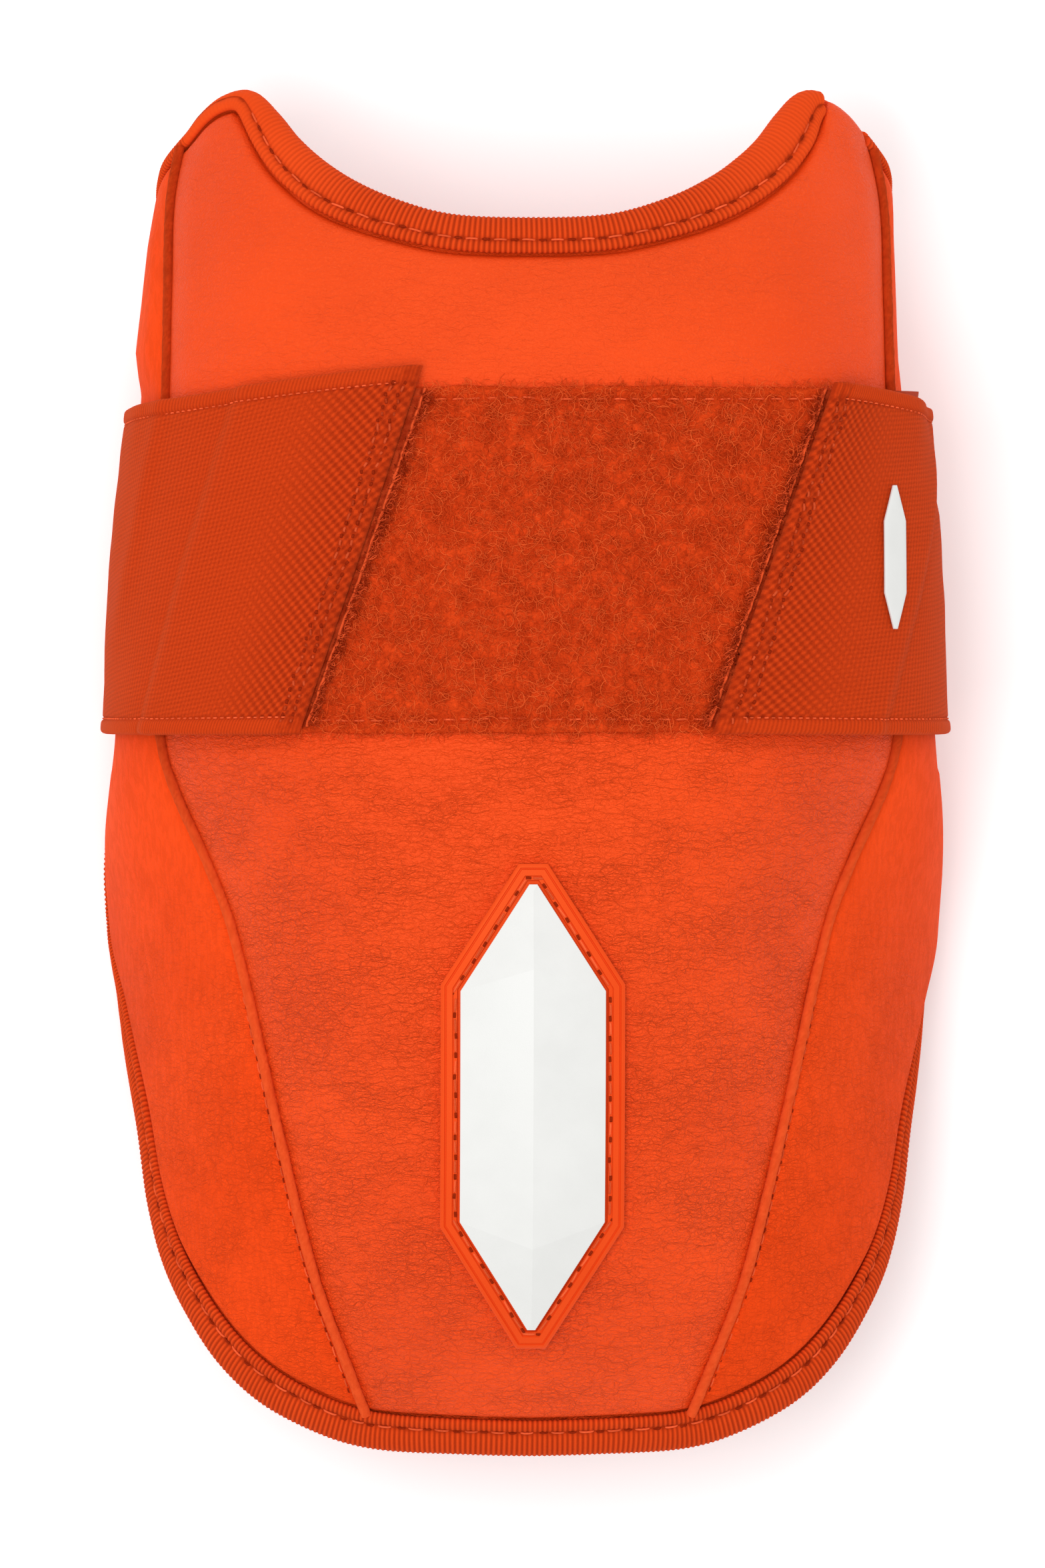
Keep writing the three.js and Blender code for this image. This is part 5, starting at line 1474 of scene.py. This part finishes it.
def cut_strips(gap_x, gap_y, wide, high):
    """Cuts across the whole mesh, so that it can bend."""
    for gap, size, axis in ((gap_x, wide, 0), (gap_y, high, 1)):
        for cut in np.arange(-size / 2 + gap, size / 2, gap):
            bpy.ops.mesh.select_all(action="SELECT")
            spot, way = [0, 0, 0], [0, 0, 0]
            spot[axis], way[axis] = cut, 1
            bpy.ops.mesh.bisect(plane_co=spot, plane_no=way)


def bend_onto(piece, s, y, lift):
    """Lays a flat model in millimetres on the skin, with s and y as its middle. lift may be a function."""
    points = np.array([vertex.co for vertex in piece.data.vertices])
    at_s, at_y = s + points[:, 0], y + points[:, 1]
    height = points[:, 2] + (lift(at_s, at_y) if callable(lift) else lift)
    piece.data.vertices.foreach_set("co", (place(at_s, at_y, height) * MM).astype(np.float32).ravel())
    piece.data.update()


# %% Badge border
border = tall_block("badge_border", BADGE_HIGH, BADGE_WIDE, 0, 1.35)
for width, rise in ((0.25, 0.15), (0.4, 0), (0.12, -0.25), (0.14, 0), (0.12, 0.25), (0.95, 0), (0.15, -0.3),
                    (0.62, 0), (0.12, -0.55)):
    step_in(width, rise)
cut_strips(2.1, 2.6, BADGE_WIDE, BADGE_HIGH)
bpy.ops.object.mode_set(mode="OBJECT")
bend_onto(border, 0, BADGE_Y, LAY_GAP)
finished(border, rubber, "badge_border", "badge_base", crisp=35)

# %% White plate
PLATE_HIGH, PLATE_WIDE, PLATE_FLANK, PLATE_TIP = 75, 24.2, 0.518, 0.055
plate = tall_block("badge_face", PLATE_HIGH, PLATE_WIDE, 0.65, 6, PLATE_FLANK, PLATE_TIP)
corners = outline(PLATE_FLANK, PLATE_TIP)
EAVES, SLOPE = 2.1, 0.26
for (x0, y0), (x1, y1) in zip(corners, corners[1:] + corners[:1]):
    a = Vector((x0 * PLATE_WIDE / 2, y0 * PLATE_HIGH / 2, EAVES))
    b = Vector((x1 * PLATE_WIDE / 2, y1 * PLATE_HIGH / 2, EAVES))
    outward = Vector((b.y - a.y, a.x - b.x, 0)).normalized()
    steep = SLOPE * (0.85 if abs(outward.x) > 0.99 else 1.25)
    bpy.ops.mesh.select_all(action="SELECT")
    tilted = outward * steep + Vector((0, 0, 1))
    bpy.ops.mesh.bisect(plane_co=a, plane_no=tilted, clear_outer=True, use_fill=True)
cut_strips(2.4, 3.1, PLATE_WIDE, PLATE_HIGH)
bpy.ops.object.mode_set(mode="OBJECT")
bend_onto(plate, 0, BADGE_Y, LAY_GAP)
finished(plate, white, "badge_white", "badge_plate", crisp=6)

# %% Stitches in the badge's channel
def inside_outline(inset):
    """The badge's corners, moved inward by a width that is the same on all sides."""
    wide, high = BADGE_WIDE / 2, BADGE_HIGH / 2
    slant = np.array([high * (1 - FLANK), wide * (1 - TIP_WIDE)])
    slant /= np.linalg.norm(slant)
    reach = slant @ [wide, high * FLANK] - inset
    shoulder = (reach - slant[0] * (wide - inset)) / slant[1]
    tip = (reach - slant[1] * (high - inset)) / slant[0]
    return [(wide - inset, shoulder), (tip, high - inset), (-tip, high - inset), (inset - wide, shoulder)]


corners = inside_outline(2.45)
corners += [(-x, -y) for x, y in corners]
ring = np.array(corners + corners[:1])
steps_round = np.concatenate([np.linspace(a, b, 40)[:-1] for a, b in zip(ring[:-1], ring[1:])])
at = place(steps_round[:, 0], BADGE_Y + steps_round[:, 1], LAY_GAP + 1.28)
stitch_row("stitches_badge", at, skin_up(steps_round[:, 0], BADGE_Y + steps_round[:, 1]),
           "badge_border", 3.45, 2.3, 0.5, 0.2, seed=61, hole_shade=1.0)

# %% [markdown]
# ## Mark on the strap
#
# A thin white transfer on the right side of the strap, the badge's shape in small. It is a low block with a
# bevelled rim, bent onto the strap.

# %% Mark
MARK_HIGH, MARK_WIDE, MARK_X, MARK_LIFT = 24, 4.6, 58.5, 0.35
mark = tall_block("strap_print", MARK_HIGH, MARK_WIDE, 0, 0.3)
step_in(0.18, 0.12)
cut_strips(1.2, 2.0, MARK_WIDE, MARK_HIGH)
bpy.ops.object.mode_set(mode="OBJECT")
mark_y = STRAP_FOOT + STRAP_WIDE / 2 + FLARE[1] / 2


def over_strap(s, y):
    """Height of the strap's outer face over the skin on its way down the right side."""
    start = np.array([arc_at_x(end_x(1, (b - STRAP_FOOT) / (STRAP_WIDE + FLARE[1])), b) for b in y])
    tab = HOOK_TOP * (1 - ease(s, start + HOOK_DEEP + TAB_CLEAR, start + HOOK_DEEP + TAB_CLEAR + TAB_RAMP))
    loop = LOOP_TOP * (1 - ease(s, np.interp(y, GRID_Y, seam_at) + 1, np.interp(y, GRID_Y, widest_at)))
    return np.maximum(tab, loop) + LAY_GAP + STRAP_THICK + MARK_LIFT


bend_onto(mark, arc_at_x(MARK_X, mark_y), mark_y, over_strap)
finished(mark, white, "strap_print", "strap_mark", crisp=35)
